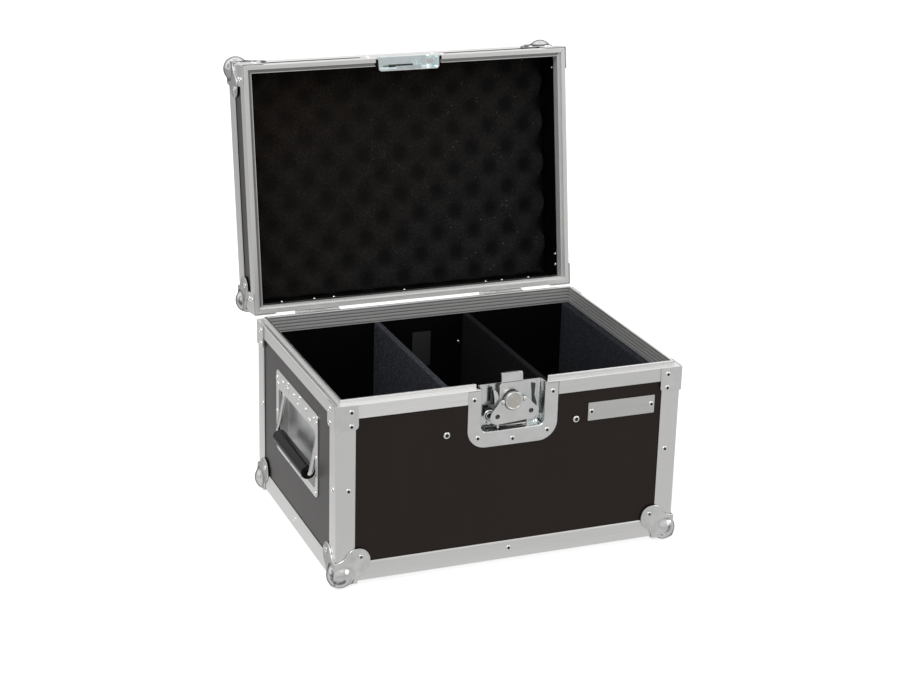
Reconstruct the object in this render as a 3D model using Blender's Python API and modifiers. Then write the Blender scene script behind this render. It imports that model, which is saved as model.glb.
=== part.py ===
"""Lighting flight case: a plywood case with aluminium edging, a recessed butterfly latch, two spring handles
and a foam-lined lid that stands open on its two stay hinges.

Metres, +Z up, X to the right and Y to the back. The origin is the middle of the bottom panel's underside.
The lid is drawn shut and then turned open about the hinge axis by its parent empty.
"""

import bpy
import bmesh
from math import cos, pi, radians, sin, tau
from mathutils import Matrix, Vector

# Case, outside the aluminium
CASE_WIDTH = 0.430
CASE_DEPTH = 0.309
BASE_HEIGHT = 0.219
LID_HEIGHT = 0.0713
LID_GAP = 0.0004
PANEL_THICKNESS = 0.0060
CLEARANCE = 0.0003
SEAM_HALF = 0.0002
WELD_REACH = 0.000003

# Edge angle
ANGLE_LEG = 0.0238
ANGLE_THICKNESS = 0.0015

# Closing profile round the opening: a stepped tongue on the base, the step it fits in on the lid
RIM_LEG = 0.0170
RIM_SHELF = 0.0063
TONGUE_HEIGHT = 0.0046
INNER_LEG_THICKNESS = 0.0015
RIM_END_SLANT = 0.0055
LID_STEP_PLACE = 0.0060
LID_STEP_HEIGHT = 0.0049

# Rivets
RIVET_RADIUS = 0.0033
RIVET_CROWN_RADIUS = 0.0019
RIVET_HEIGHT = 0.0011
RIVET_SEAT = 0.0005
RIVET_SIDES = 10
BOTTOM_RIVET_RISE = 0.0140
UPRIGHT_RIVET_PLACE = 0.0153
UPRIGHT_RIVET_RISE = 0.1145
SIDE_RIVET_FRONT = 0.0100
SIDE_RIVET_BACK = 0.0200

# Ball corners
BALL_RADIUS = 0.0152
BALL_INSET = 0.0078
CORNER_PLATE_THICKNESS = 0.0012
CORNER_ROOT = 0.0265
CORNER_PETAL_RADIUS = 0.0155
CORNER_WAIST_OUT = 0.0018
CORNER_WAIST_UP = 0.0065
CORNER_PETAL_CENTRE = 0.0265
CORNER_RIVET_PLACE = 0.0308

# Corner braces
BRACE_THICKNESS = 0.0012
BRACE_WIDTH = 0.0265
BASE_BRACE_HEIGHT = 0.0300
LID_BRACE_HEIGHT = 0.0250
BRACE_CORNER_RADIUS = 0.0050
BRACE_RIVET_FROM_EDGE = 0.0178
BRACE_RIVET_FROM_RIM = 0.0085
BRACE_RIVET_SPACING = 0.0170
LID_BRACE_RIVET_SPACING = 0.0110

# Dividers and foam
DIVIDER_THICKNESS = 0.0080
DIVIDER_PLACE = 0.0605
WALL_FOAM = 0.0100
FLOOR_FOAM = 0.0060
LID_FOAM_BASE = 0.0120
LID_FOAM_WAVE = 0.0080
LID_FOAM_ALONG = 0.0500
LID_FOAM_ACROSS = 0.0540
LID_FOAM_STEPS = 5

# Latch: dish in the base, keeper dish in the lid
DISH_FLANGE_WIDTH = 0.1125
DISH_FLANGE_DROP = 0.0725
DISH_FLANGE_RADIUS = 0.0230
DISH_MOUTH_WIDTH = 0.0790
DISH_MOUTH_DROP = 0.0535
DISH_MOUTH_RADIUS = 0.0080
DISH_DEPTH = 0.0150
DISH_RIVET_INSET = 0.0072
DISH_RIVET_DROP = 0.0125
DISH_RIVET_LOW_PLACE = 0.0435
DISH_RIVET_LOW_LIFT = 0.0052
SHEET_THICKNESS = 0.0012
KEEPER_FLANGE_RISE = 0.0460
KEEPER_MOUTH_RISE = 0.0270
KEEPER_TAB_WIDTH = 0.0340
KEEPER_TAB_THICKNESS = 0.0015
KEEPER_DEPTH = 0.0168
KEEPER_TAB_FRONT = 0.0113
KEEPER_TAB_RISE = 0.0013
SPINDLE_DROP = 0.0180
SPINDLE_RADIUS = 0.0040
SPINDLE_TAIL = 0.0008
BOSS_RADIUS = 0.0112
BOSS_PROUD = 0.0025
BOSS_LENGTH = 0.0056
BOSS_BEVEL = 0.0010
CAM_RADIUS = 0.0080
CAM_OFFSET = 0.0030
CAM_THICKNESS = 0.0022
WING_THICKNESS = 0.0015
WING_SPAN = 0.0420
WING_DROP = 0.0165
WING_LOBE_RADIUS = 0.0078
WING_HOLE_RADIUS = 0.0028
WING_ARM_IN = 0.0117
WING_ARM_OUT = 0.0154
WING_AXIS_DEPTH = 0.0005
WING_BOSS_GAP = 0.0008
WING_PIN_RADIUS = 0.0015
WING_PIN_END = 0.0145
WING_KNUCKLE_RADIUS = 0.0026
WING_KNUCKLE_LENGTH = 0.0032
HOOK_THICKNESS = 0.0020
HOOK_TOP_WIDTH = 0.0265
HOOK_WIDTH = 0.0310
HOOK_RISE = 0.0130
HOOK_DROP = 0.0320
HOOK_SHOULDER = 0.0015
HOOK_LIP_REACH = 0.0022
HOOK_FRONT = 0.0058
HOOK_TRAVEL = 0.0080
HOOK_LEAN = radians(20.0)
HOOK_SLOT_GAP = 0.0005

# Front trim
BUTTON_RADIUS = 0.0042
BUTTON_CROWN_RADIUS = 0.0029
BUTTON_HEIGHT = 0.0014
BUTTON_FROM_DISH = 0.0250
BUTTON_DROP = 0.0520
NAMEPLATE_WIDTH = 0.0866
NAMEPLATE_HEIGHT = 0.0226
NAMEPLATE_THICKNESS = 0.0008
NAMEPLATE_FROM_SIDE = 0.0758
NAMEPLATE_DROP = 0.0445
NAMEPLATE_RIVET_PLACE = 0.0390

# Handles
HANDLE_CENTRE = -0.0045
HANDLE_FLANGE_SIDE = 0.00875
HANDLE_FLANGE_HEIGHT = 0.1050
HANDLE_FLANGE_RADIUS = 0.0080
HANDLE_FLANGE_DROP = 0.0367
HANDLE_MOUTH_LENGTH = 0.1460
HANDLE_MOUTH_BOTTOM = 0.0100
HANDLE_MOUTH_HEIGHT = 0.0715
HANDLE_MOUTH_RADIUS = 0.0060
HANDLE_POCKET_MARGIN = 0.0015
HANDLE_POCKET_ROOF = 0.0100
HANDLE_DEPTH = 0.0150
HANDLE_RIVET_INSET = 0.0042
HANDLE_RIVET_SPACING = 0.0400
HANDLE_RIVET_SIDE = 0.0445
BAIL_RADIUS = 0.0035
BAIL_SIDE_GAP = 0.0070
BAIL_DROP = 0.0520
BAIL_BEND_RADIUS = 0.0070
BAIL_STUB_BEND = 0.0040
BAIL_STUB_SHORT = 0.0001
BAIL_PIVOT_DEPTH = 0.0070
BAIL_PIVOT_FROM_MOUTH = 0.0045
BAIL_LEAN_OUT = 0.0100
GRIP_RADIUS = 0.0088
GRIP_END_GAP = 0.0075
GRIP_BEVEL = 0.0010
SPRING_WIRE_RADIUS = 0.0006
SPRING_RADIUS = 0.0047
SPRING_PITCH = 0.0013
SPRING_FROM_MOUTH = 0.0021

# Stay hinges
HINGE_AXIS_BACK = 0.0057
HINGE_AXIS_DROP = 0.0028
HINGE_WIDTH = 0.0540
HINGE_FROM_LEFT = 0.0825
HINGE_FROM_RIGHT = 0.0960
HINGE_KNUCKLE_RADIUS = 0.0040
HINGE_PIN_RADIUS = 0.0017
HINGE_LEAF_THICKNESS = 0.0020
HINGE_BASE_LEAF = 0.0340
HINGE_LID_LEAF = 0.0300
HINGE_MIDDLE = 0.0200
HINGE_NOTCH = 0.0028
HINGE_STAY_WIDTH = 0.0100
HINGE_STAY_REACH = 0.0180
HINGE_STAY_HEEL = 0.0050
HINGE_STAY_FOOT = 0.0120
HINGE_STAY_DEPTH = 0.0060
HINGE_RUNNING_GAP = 0.0004
LID_OPEN = radians(98.5)

# Shares, counts and edge angles
HINGE_RIVET_SHARE = 0.62
SHARP_EDGE = radians(35.0)
BEVELLED_EDGE = radians(60.0)
SPRING_TURNS = 2
SPRING_STEPS = 12
BALL_SEGMENTS = 18
ROUND_SEGMENTS = 28
ARC_STEPS = 5
OVERRUN = 0.0200

# Places worked out from the sizes above
HALF_W = CASE_WIDTH / 2
HALF_D = CASE_DEPTH / 2
BASE_BOTTOM = -ANGLE_THICKNESS - CLEARANCE
RIM_LINE = BASE_BOTTOM + BASE_HEIGHT
LID_LINE = RIM_LINE + LID_GAP
LID_TOP = RIM_LINE + LID_HEIGHT
PANEL_OUT = ANGLE_THICKNESS + CLEARANCE
PANEL_IN = PANEL_OUT + PANEL_THICKNESS
RIM_WIDTH = PANEL_IN + CLEARANCE + INNER_LEG_THICKNESS
RIM_FOOT = RIM_LINE - RIM_LEG
LID_RIM_HEAD = LID_LINE + RIM_LEG
SPINDLE_Z = RIM_LINE - SPINDLE_DROP
LID_AXIS = Vector((0.0, HALF_D + HINGE_AXIS_BACK, RIM_LINE - HINGE_AXIS_DROP))
NAMEPLATE_PLACE = HALF_W - NAMEPLATE_FROM_SIDE
BUTTON_PLACE = DISH_FLANGE_WIDTH / 2 + BUTTON_FROM_DISH
HINGE_LEFT = HINGE_FROM_LEFT - HALF_W
HINGE_RIGHT = HALF_W - HINGE_FROM_RIGHT
HANDLE_FLANGE_LENGTH = HANDLE_MOUTH_LENGTH + 2 * HANDLE_FLANGE_SIDE
HANDLE_FLANGE_BOTTOM = RIM_LINE - HANDLE_FLANGE_DROP - HANDLE_FLANGE_HEIGHT
HANDLE_MOUTH_LOW = HANDLE_FLANGE_BOTTOM + HANDLE_MOUTH_BOTTOM
HANDLE_MOUTH_TOP = HANDLE_MOUTH_LOW + HANDLE_MOUTH_HEIGHT
BAIL_PIVOT_Z = HANDLE_MOUTH_TOP - BAIL_PIVOT_FROM_MOUTH
BAIL_WIDTH = HANDLE_MOUTH_LENGTH - 2 * BAIL_SIDE_GAP
BAIL_STUB_END = HANDLE_MOUTH_LENGTH / 2 + HANDLE_POCKET_MARGIN + SHEET_THICKNESS - BAIL_STUB_SHORT
GRIP_LENGTH = BAIL_WIDTH - 2 * GRIP_END_GAP
SPRING_START = HANDLE_MOUTH_LENGTH / 2 - SPRING_FROM_MOUTH


# Scene and materials

def clear_scene():
    """Takes away what a new file starts with."""
    for item in list(bpy.data.objects):
        bpy.data.objects.remove(item, do_unlink=True)


def collection(name):
    """A new collection in the scene."""
    made = bpy.data.collections.new(name)
    bpy.context.scene.collection.children.link(made)
    return made


def material(name, colour, roughness, metallic=0.0):
    """A plain finish."""
    made = bpy.data.materials.new(name)
    made.use_nodes = True
    shader = made.node_tree.nodes["Principled BSDF"]
    shader.inputs["Base Color"].default_value = (*colour, 1.0)
    shader.inputs["Roughness"].default_value = roughness
    shader.inputs["Metallic"].default_value = metallic
    return made


clear_scene()
PARTS = collection("lighting_flight_case")
CUTTERS = collection("cutters")
PLYWOOD = material("film_faced_plywood", (0.022, 0.016, 0.014), 0.42)
ALUMINIUM = material("brushed_aluminium", (0.60, 0.60, 0.60), 0.34, 1.0)
ZINC = material("zinc_plated_steel", (0.58, 0.59, 0.60), 0.26, 1.0)
RUBBER = material("black_rubber", (0.020, 0.020, 0.020), 0.55)
FOAM = material("black_foam", (0.012, 0.012, 0.013), 0.95)
BOARD = material("foam_faced_board", (0.020, 0.021, 0.025), 0.90)


# Shape helpers

def keep(name, mesh, finish, matrix=Matrix(), parent=None):
    """Puts a mesh in the scene as one part at a matrix, hung on a parent empty if there is one."""
    item = bpy.data.objects.new(name, mesh)
    if not mesh.materials:
        mesh.materials.append(finish)
    PARTS.objects.link(item)
    item.matrix_world = matrix
    if parent is not None:
        item.parent = parent
        item.matrix_parent_inverse = Matrix.Translation(-parent.location)
    return item


def as_cutter(item):
    """Takes a part out of the model and leaves it as a tool for Booleans."""
    PARTS.objects.unlink(item)
    CUTTERS.objects.link(item)
    item.hide_render = True
    item.display_type = "WIRE"
    return item


def boolean(item, tool, operation):
    """Cuts, joins or crosses a part with a tool that rides on the same parent."""
    modifier = item.modifiers.new(operation.lower(), "BOOLEAN")
    modifier.operation = operation
    modifier.solver = "EXACT"
    modifier.object = tool
    if tool.name in PARTS.objects:
        as_cutter(tool)
    return item


def cut(item, *tools):
    """Takes each tool's shape out of a part."""
    for tool in tools:
        boolean(item, tool, "DIFFERENCE")
    return item


def join(item, *tools):
    """Makes each tool's shape one with a part."""
    for tool in tools:
        boolean(item, tool, "UNION")
    return item


def block(name, low, high, finish, parent=None):
    """A box between two corners."""
    low, high = Vector(low), Vector(high)
    size = high - low
    shape = bmesh.new()
    bmesh.ops.create_cube(shape, size=1.0, matrix=Matrix.Diagonal((*size, 1.0)))
    mesh = bpy.data.meshes.new(name)
    shape.to_mesh(mesh)
    shape.free()
    return keep(name, mesh, finish, Matrix.Translation((low + high) / 2), parent)


def rod(name, start, end, radius, finish, parent=None, segments=ROUND_SEGMENTS, end_radius=None):
    """A round bar or cone between two points."""
    start, end = Vector(start), Vector(end)
    along = end - start
    shape = bmesh.new()
    bmesh.ops.create_cone(shape, cap_ends=True, segments=segments, radius1=radius,
                          radius2=radius if end_radius is None else end_radius, depth=along.length)
    mesh = bpy.data.meshes.new(name)
    shape.to_mesh(mesh)
    shape.free()
    smooth(mesh)
    turn = along.to_track_quat("Z", "Y").to_matrix().to_4x4()
    return keep(name, mesh, finish, Matrix.Translation((start + end) / 2) @ turn, parent)


def smooth(mesh):
    """Shades a mesh smooth but for its sharp edges."""
    mesh.shade_smooth()
    mesh.set_sharp_from_angle(angle=SHARP_EDGE)


def bevel_edges(item, width):
    """Rounds the square edges of a part."""
    bevel = item.modifiers.new("edge", "BEVEL")
    bevel.width = width
    bevel.segments = 2
    bevel.limit_method = "ANGLE"
    bevel.angle_limit = BEVELLED_EDGE


def outline_mesh(name, outlines, thickness):
    """A flat outline with any holes, filled as a 2D curve and given half its thickness each way."""
    curve = bpy.data.curves.new(name, "CURVE")
    curve.dimensions = "2D"
    curve.fill_mode = "BOTH"
    curve.extrude = thickness / 2
    for points in outlines:
        spline = curve.splines.new("POLY")
        spline.points.add(len(points) - 1)
        for place, (x, y) in zip(spline.points, points):
            place.co = (x, y, 0.0, 1.0)
        spline.use_cyclic_u = True
    return solid_from_curve(name, curve)


def solid_from_curve(name, curve):
    """A curve made a closed mesh, its caps welded to its sides."""
    drawn = bpy.data.objects.new(name + "_curve", curve)
    bpy.context.scene.collection.objects.link(drawn)
    bpy.context.view_layer.update()
    graph = bpy.context.evaluated_depsgraph_get()
    mesh = bpy.data.meshes.new_from_object(drawn.evaluated_get(graph))
    mesh.name = name
    bpy.data.objects.remove(drawn, do_unlink=True)
    shape = bmesh.new()
    shape.from_mesh(mesh)
    bmesh.ops.remove_doubles(shape, verts=shape.verts, dist=WELD_REACH)
    bmesh.ops.recalc_face_normals(shape, faces=shape.faces)
    shape.to_mesh(mesh)
    shape.free()
    mesh.materials.clear()
    return mesh


def arc(centre, radius, start, end, steps=ARC_STEPS):
    """Points of an arc, angles in degrees."""
    turns = [radians(start + (end - start) * step / steps) for step in range(steps + 1)]
    return [(centre[0] + radius * cos(turn), centre[1] + radius * sin(turn)) for turn in turns]


def rounded(low, high, radii):
    """A rectangle from low to high with a radius for its lower and its upper corners."""
    (x0, y0), (x1, y1) = low, high
    below, above = radii
    points = []
    corners = ((x1 - below, y0 + below, below, 270), (x1 - above, y1 - above, above, 0),
               (x0 + above, y1 - above, above, 90), (x0 + below, y0 + below, below, 180))
    for centre_x, centre_y, radius, start in corners:
        if radius > 0:
            points += arc((centre_x, centre_y), radius, start, start + 90)
        else:
            points.append((centre_x, centre_y))
    return points


# Outlines are drawn in X and Y and stood up by these: facing the front, and in the plane of a side
FRONT_ON = Matrix(((1, 0, 0, 0), (0, 0, -1, 0), (0, 1, 0, 0), (0, 0, 0, 1)))
SIDE_ON = Matrix(((0, 0, 1, 0), (1, 0, 0, 0), (0, 1, 0, 0), (0, 0, 0, 1)))


def front_plate(name, outlines, depth_from, thickness, finish, parent=None):
    """A plate parallel to the front, its outer face at a depth behind the front of the case."""
    middle = -HALF_D + depth_from + thickness / 2
    matrix = Matrix.Translation((0.0, middle, 0.0)) @ FRONT_ON
    return keep(name, outline_mesh(name, outlines, thickness), finish, matrix, parent)


def side_plate(name, outlines, depth_from, thickness, finish, parent=None):
    """A plate parallel to the left side, its outer face at a depth inside the left of the case."""
    middle = -HALF_W + depth_from + thickness / 2
    matrix = Matrix.Translation((middle, 0.0, 0.0)) @ SIDE_ON
    return keep(name, outline_mesh(name, outlines, thickness), finish, matrix, parent)


def mitred_bar(name, profile, length, finish, matrix, insets, parent=None):
    """A profile run along a length, each end cut back by its own function of the profile's point."""
    mesh = outline_mesh(name, [profile], length)
    start_inset, end_inset = insets
    for vertex in mesh.vertices:
        if vertex.co.z > 0:
            vertex.co.z = length / 2 - end_inset(vertex.co.x, vertex.co.y)
        else:
            vertex.co.z = start_inset(vertex.co.x, vertex.co.y) - length / 2
    return keep(name, mesh, finish, matrix, parent)


def run_along(origin, inwards, upwards):
    """The matrix that sets a profile's u inwards, its v upwards and its length across both."""
    inwards, upwards = Vector(inwards), Vector(upwards)
    along = inwards.cross(upwards)
    matrix = Matrix((inwards, upwards, along)).transposed().to_4x4()
    return Matrix.Translation(origin) @ matrix


def rivets(name, places, finish, parent=None, radius=RIVET_RADIUS, height=RIVET_HEIGHT,
           crown=RIVET_CROWN_RADIUS):
    """Domed heads, one for each place and outward direction, sunk a little into what they hold."""
    shape = bmesh.new()
    for place, outward in places:
        outward = Vector(outward).normalized()
        turn = outward.to_track_quat("Z", "Y").to_matrix().to_4x4()
        centre = Vector(place) + outward * (height - RIVET_SEAT) / 2
        bmesh.ops.create_cone(shape, cap_ends=True, segments=RIVET_SIDES, radius1=radius, radius2=crown,
                              depth=height + RIVET_SEAT, matrix=Matrix.Translation(centre) @ turn)
    mesh = bpy.data.meshes.new(name)
    shape.to_mesh(mesh)
    shape.free()
    return keep(name, mesh, finish, Matrix(), parent)


def copy_turned(original, name, matrix, parent=None):
    """Another part from the finished shape of one that is drawn in its own corner's directions."""
    return keep(name, original.data, original.data.materials[0], matrix, parent)


def finished(item):
    """Applies a part's modifiers, so that copies can share its mesh."""
    bpy.context.view_layer.update()
    graph = bpy.context.evaluated_depsgraph_get()
    mesh = bpy.data.meshes.new_from_object(item.evaluated_get(graph))
    mesh.name = item.name
    item.modifiers.clear()
    item.data = mesh
    return item


# The corners, as the quarter turns about Z and the signs of X and Y that they have
CORNERS = (("front_left", 0, -1, -1), ("front_right", 1, 1, -1),
           ("back_right", 2, 1, 1), ("back_left", 3, -1, 1))


def corner_matrix(turn, x_sign, y_sign, height, upside_down):
    """Stands a corner piece, drawn with +X, +Y and +Z into the case, in one of the corners."""
    place = Matrix.Translation((x_sign * HALF_W, y_sign * HALF_D, height))
    matrix = place @ Matrix.Rotation(turn * pi / 2, 4, "Z")
    if upside_down:
        matrix = matrix @ Matrix.Rotation(pi / 2, 4, "Z") @ Matrix.Rotation(pi, 4, "X")
    return matrix


# Case body

def base_panels():
    """Front and back boards run the full width, the sides stand between them, the bottom inside all four."""
    board_top = RIM_LINE - ANGLE_THICKNESS - CLEARANCE
    across = HALF_W - PANEL_OUT
    front_in = HALF_D - PANEL_IN
    front = block("front_panel", (-across, -HALF_D + PANEL_OUT, 0.0), (across, -front_in, board_top), PLYWOOD)
    mouth = DISH_MOUTH_WIDTH / 2 + SHEET_THICKNESS + CLEARANCE
    mouth_foot = RIM_LINE - DISH_MOUTH_DROP - SHEET_THICKNESS - CLEARANCE
    cut(front, block("front_dish_opening", (-mouth, -HALF_D - OVERRUN, mouth_foot),
                     (mouth, -front_in + OVERRUN, board_top + OVERRUN), PLYWOOD))
    face = -HALF_D + PANEL_OUT
    buttons = [((sign * BUTTON_PLACE, face, RIM_LINE - BUTTON_DROP), (0, -1, 0)) for sign in (-1, 1)]
    join(front, rivets("button_rivets", buttons, ALUMINIUM, None, BUTTON_RADIUS, BUTTON_HEIGHT,
                       BUTTON_CROWN_RADIUS))
    block("back_panel", (-across, front_in, 0.0), (across, HALF_D - PANEL_OUT, board_top), PLYWOOD)
    side_end = front_in - CLEARANCE
    for name, sign in (("left_panel", -1), ("right_panel", 1)):
        low, high = sorted((sign * (HALF_W - PANEL_OUT), sign * (HALF_W - PANEL_IN)))
        side = block(name, (low, -side_end, 0.0), (high, side_end, board_top), PLYWOOD)
        cut(side, handle_opening(name + "_opening", sign, CLEARANCE))
    inside = HALF_W - PANEL_IN - CLEARANCE
    block("bottom_panel", (-inside, -side_end, 0.0), (inside, side_end, PANEL_THICKNESS), PLYWOOD)


def handle_opening(name, sign, gap):
    """A box round the handle pocket in the left (-1) or right (1) side, a gap larger than the pocket."""
    half_length = HANDLE_MOUTH_LENGTH / 2 + HANDLE_POCKET_MARGIN + SHEET_THICKNESS + gap
    low = HANDLE_MOUTH_LOW - HANDLE_POCKET_MARGIN - SHEET_THICKNESS - gap
    high = HANDLE_MOUTH_TOP + HANDLE_POCKET_ROOF + SHEET_THICKNESS + gap
    centre = -sign * HANDLE_CENTRE
    outer, inner = sorted((sign * (HALF_W + OVERRUN), sign * (HALF_W - HANDLE_DEPTH - gap)))
    return block(name, (outer, centre - half_length, low), (inner, centre + half_length, high), PLYWOOD)


def angle_profile():
    """The L of the edge angle, its outer corner at the origin."""
    leg, wall = ANGLE_LEG, ANGLE_THICKNESS
    return [(0.0, 0.0), (leg, 0.0), (leg, wall), (wall, wall), (wall, leg), (0.0, leg)]


def mitre(u, v):
    """How far a three-way mitre cuts back at a point of the profile, with half a seam's gap."""
    return max(u, v) + SEAM_HALF


def square(u, v):
    """A square end, which cuts back nothing."""
    return 0.0


def corner_mitre(u, v):
    """How far a corner's mitre cuts the closing profile back, with half a seam's gap."""
    return u + SEAM_HALF


def latch_slant(u, v):
    """How far the front closing profile slants away from the latch dish."""
    return RIM_END_SLANT * u / RIM_WIDTH


def bottom_angles():
    """Angles along the four bottom edges, mitred to each other and to the upright ones."""
    runs = (("front", (0.0, -HALF_D, BASE_BOTTOM), (0, 1, 0), CASE_WIDTH),
            ("back", (0.0, HALF_D, BASE_BOTTOM), (0, -1, 0), CASE_WIDTH),
            ("left", (-HALF_W, 0.0, BASE_BOTTOM), (1, 0, 0), CASE_DEPTH),
            ("right", (HALF_W, 0.0, BASE_BOTTOM), (-1, 0, 0), CASE_DEPTH))
    for side, origin, inwards, length in runs:
        bar = mitred_bar("bottom_angle_" + side, angle_profile(), length, ALUMINIUM,
                         run_along(origin, inwards, (0, 0, 1)), (mitre, mitre))
        middle = Vector(origin) + Vector((0.0, 0.0, BOTTOM_RIVET_RISE))
        join(bar, rivets("bottom_angle_rivet_" + side, [(middle, -Vector(inwards))], ALUMINIUM))


def upright_angles():
    """Angles up the four corner edges of the base, mitred at the foot and square under the closing profile."""
    height = BASE_HEIGHT - RIM_LEG - CLEARANCE
    middle = BASE_BOTTOM + height / 2
    rivet_line = BASE_BOTTOM + UPRIGHT_RIVET_RISE
    for corner, turn, x_sign, y_sign in CORNERS:
        matrix = corner_matrix(turn, x_sign, y_sign, middle, False)
        bar = mitred_bar("corner_angle_" + corner, angle_profile(), height, ALUMINIUM, matrix, (mitre, square))
        from_back = SIDE_RIVET_BACK if y_sign > 0 else SIDE_RIVET_FRONT
        places = [((x_sign * (HALF_W - UPRIGHT_RIVET_PLACE), y_sign * HALF_D, rivet_line), (0, y_sign, 0)),
                  ((x_sign * HALF_W, y_sign * (HALF_D - from_back), rivet_line), (x_sign, 0, 0))]
        join(bar, rivets("corner_angle_rivets_" + corner, places, ALUMINIUM))


def base_rim_profile():
    """Closing profile of the base: outer leg, shelf, raised tongue, inner leg. u is inwards, v up from the rim."""
    wall, inner = ANGLE_THICKNESS, RIM_WIDTH - INNER_LEG_THICKNESS
    return [(0.0, -RIM_LEG), (wall, -RIM_LEG), (wall, -wall), (inner, -wall), (inner, -RIM_LEG),
            (RIM_WIDTH, -RIM_LEG), (RIM_WIDTH, TONGUE_HEIGHT), (RIM_SHELF, TONGUE_HEIGHT), (RIM_SHELF, 0.0),
            (0.0, 0.0)]


def flange_cut(name, sign, low, high, parent=None):
    """A box that takes a rim's outer leg away where a latch dish's flange stands in its place."""
    mouth_edge = DISH_MOUTH_WIDTH / 2
    flange_edge = DISH_FLANGE_WIDTH / 2 + CLEARANCE
    left, right = sorted((sign * mouth_edge, sign * flange_edge))
    return block(name, (left, -HALF_D - OVERRUN, low), (right, -HALF_D + PANEL_OUT, high), ALUMINIUM, parent)


def base_rim():
    """Closing profile round the top of the base. The front one stops each side of the latch dish, where its top
    slants away from the dish and the dish's flange takes the place of its outer leg."""
    profile = base_rim_profile()
    for side, origin, inwards, length in (("back", (0.0, HALF_D, RIM_LINE), (0, -1, 0), CASE_WIDTH),
                                          ("left", (-HALF_W, 0.0, RIM_LINE), (1, 0, 0), CASE_DEPTH),
                                          ("right", (HALF_W, 0.0, RIM_LINE), (-1, 0, 0), CASE_DEPTH)):
        mitred_bar("base_rim_" + side, profile, length, ALUMINIUM, run_along(origin, inwards, (0, 0, 1)),
                   (corner_mitre, corner_mitre))
    length = HALF_W - DISH_MOUTH_WIDTH / 2 - SHEET_THICKNESS - CLEARANCE
    for side, sign, ends in (("left", -1, (corner_mitre, latch_slant)),
                             ("right", 1, (latch_slant, corner_mitre))):
        matrix = run_along((sign * (HALF_W - length / 2), -HALF_D, RIM_LINE), (0, 1, 0), (0, 0, 1))
        bar = mitred_bar("base_rim_front_" + side, profile, length, ALUMINIUM, matrix, ends)
        cut(bar, flange_cut("base_flange_cut_" + side, sign, RIM_FOOT - OVERRUN,
                            RIM_LINE - ANGLE_THICKNESS + CLEARANCE))


def ball_corner_shape():
    """One ball corner, with +X, +Y and +Z into the case: a ball over the corner and a petal on each face."""
    outside = CLEARANCE + CORNER_PLATE_THICKNESS
    centre = CORNER_PETAL_CENTRE
    waist = (CORNER_ROOT + CORNER_WAIST_OUT, CORNER_WAIST_UP)
    outline = [(-outside, -outside), (CORNER_ROOT, -outside), waist]
    outline += arc((centre, centre), CORNER_PETAL_RADIUS, -60, 150, 2 * ARC_STEPS)
    outline += [(waist[1], waist[0]), (-outside, CORNER_ROOT)]
    plate = outline_mesh("corner_petal", [outline], CORNER_PLATE_THICKNESS)
    set_out = -CLEARANCE - CORNER_PLATE_THICKNESS / 2
    shape = bmesh.new()
    bmesh.ops.create_uvsphere(shape, u_segments=BALL_SEGMENTS, v_segments=BALL_SEGMENTS // 2,
                              radius=BALL_RADIUS)
    mesh = bpy.data.meshes.new("corner_ball")
    shape.to_mesh(mesh)
    shape.free()
    smooth(mesh)
    ball = keep("ball_corner_shape", mesh, ZINC, Matrix.Translation((BALL_INSET, BALL_INSET, BALL_INSET)))
    past = BALL_INSET + BALL_RADIUS + OVERRUN
    case = block("ball_corner_case", (set_out, set_out, set_out), (past, past, past), ZINC)
    cut(ball, case)
    rivet = CORNER_RIVET_PLACE
    turns = (Matrix(), SIDE_ON, SIDE_ON @ SIDE_ON)
    for place, turn in zip("zxy", turns):
        matrix = turn @ Matrix.Translation((0, 0, set_out))
        join(ball, keep("ball_corner_petal_" + place, plate.copy(), ZINC, matrix))
    places = [(turn @ Vector((rivet, rivet, -outside)), turn.to_3x3() @ Vector((0, 0, -1))) for turn in turns]
    join(ball, rivets("ball_corner_rivets", places, ZINC))
    return finished(ball)


def brace_shape(name, height, rivet_spacing):
    """One corner brace, with +X and +Y into the case and +Z away from the parting line."""
    outside = CLEARANCE + BRACE_THICKNESS
    set_out = -CLEARANCE - BRACE_THICKNESS / 2
    radius = BRACE_CORNER_RADIUS
    outline = [(-outside, 0.0), (BRACE_WIDTH, 0.0)]
    outline += arc((BRACE_WIDTH - radius, height - radius), radius, 0, 90) + [(-outside, height)]
    plate = outline_mesh(name + "_leaf", [outline], BRACE_THICKNESS)
    front = keep(name, plate, ZINC, FRONT_ON @ Matrix.Translation((0, 0, -set_out)))
    join(front, keep(name + "_side", plate.copy(), ZINC, SIDE_ON @ Matrix.Translation((0, 0, set_out))))
    rows = (BRACE_RIVET_FROM_RIM, BRACE_RIVET_FROM_RIM + rivet_spacing)
    places = [((BRACE_RIVET_FROM_EDGE, -outside, row), (0, -1, 0)) for row in rows]
    places += [((-outside, BRACE_RIVET_FROM_EDGE, row), (-1, 0, 0)) for row in rows]
    join(front, rivets(name + "_rivets", places, ZINC))
    return finished(front)


def corner_copies(original, prefix, height, upside_down, parent=None):
    """Stands a copy of a corner piece in each of the four corners, at a height."""
    shift = original.matrix_world.copy()
    for corner, turn, x_sign, y_sign in CORNERS:
        matrix = corner_matrix(turn, x_sign, y_sign, height, upside_down) @ shift
        copy_turned(original, prefix + corner, matrix, parent)


# Inside of the base

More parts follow.
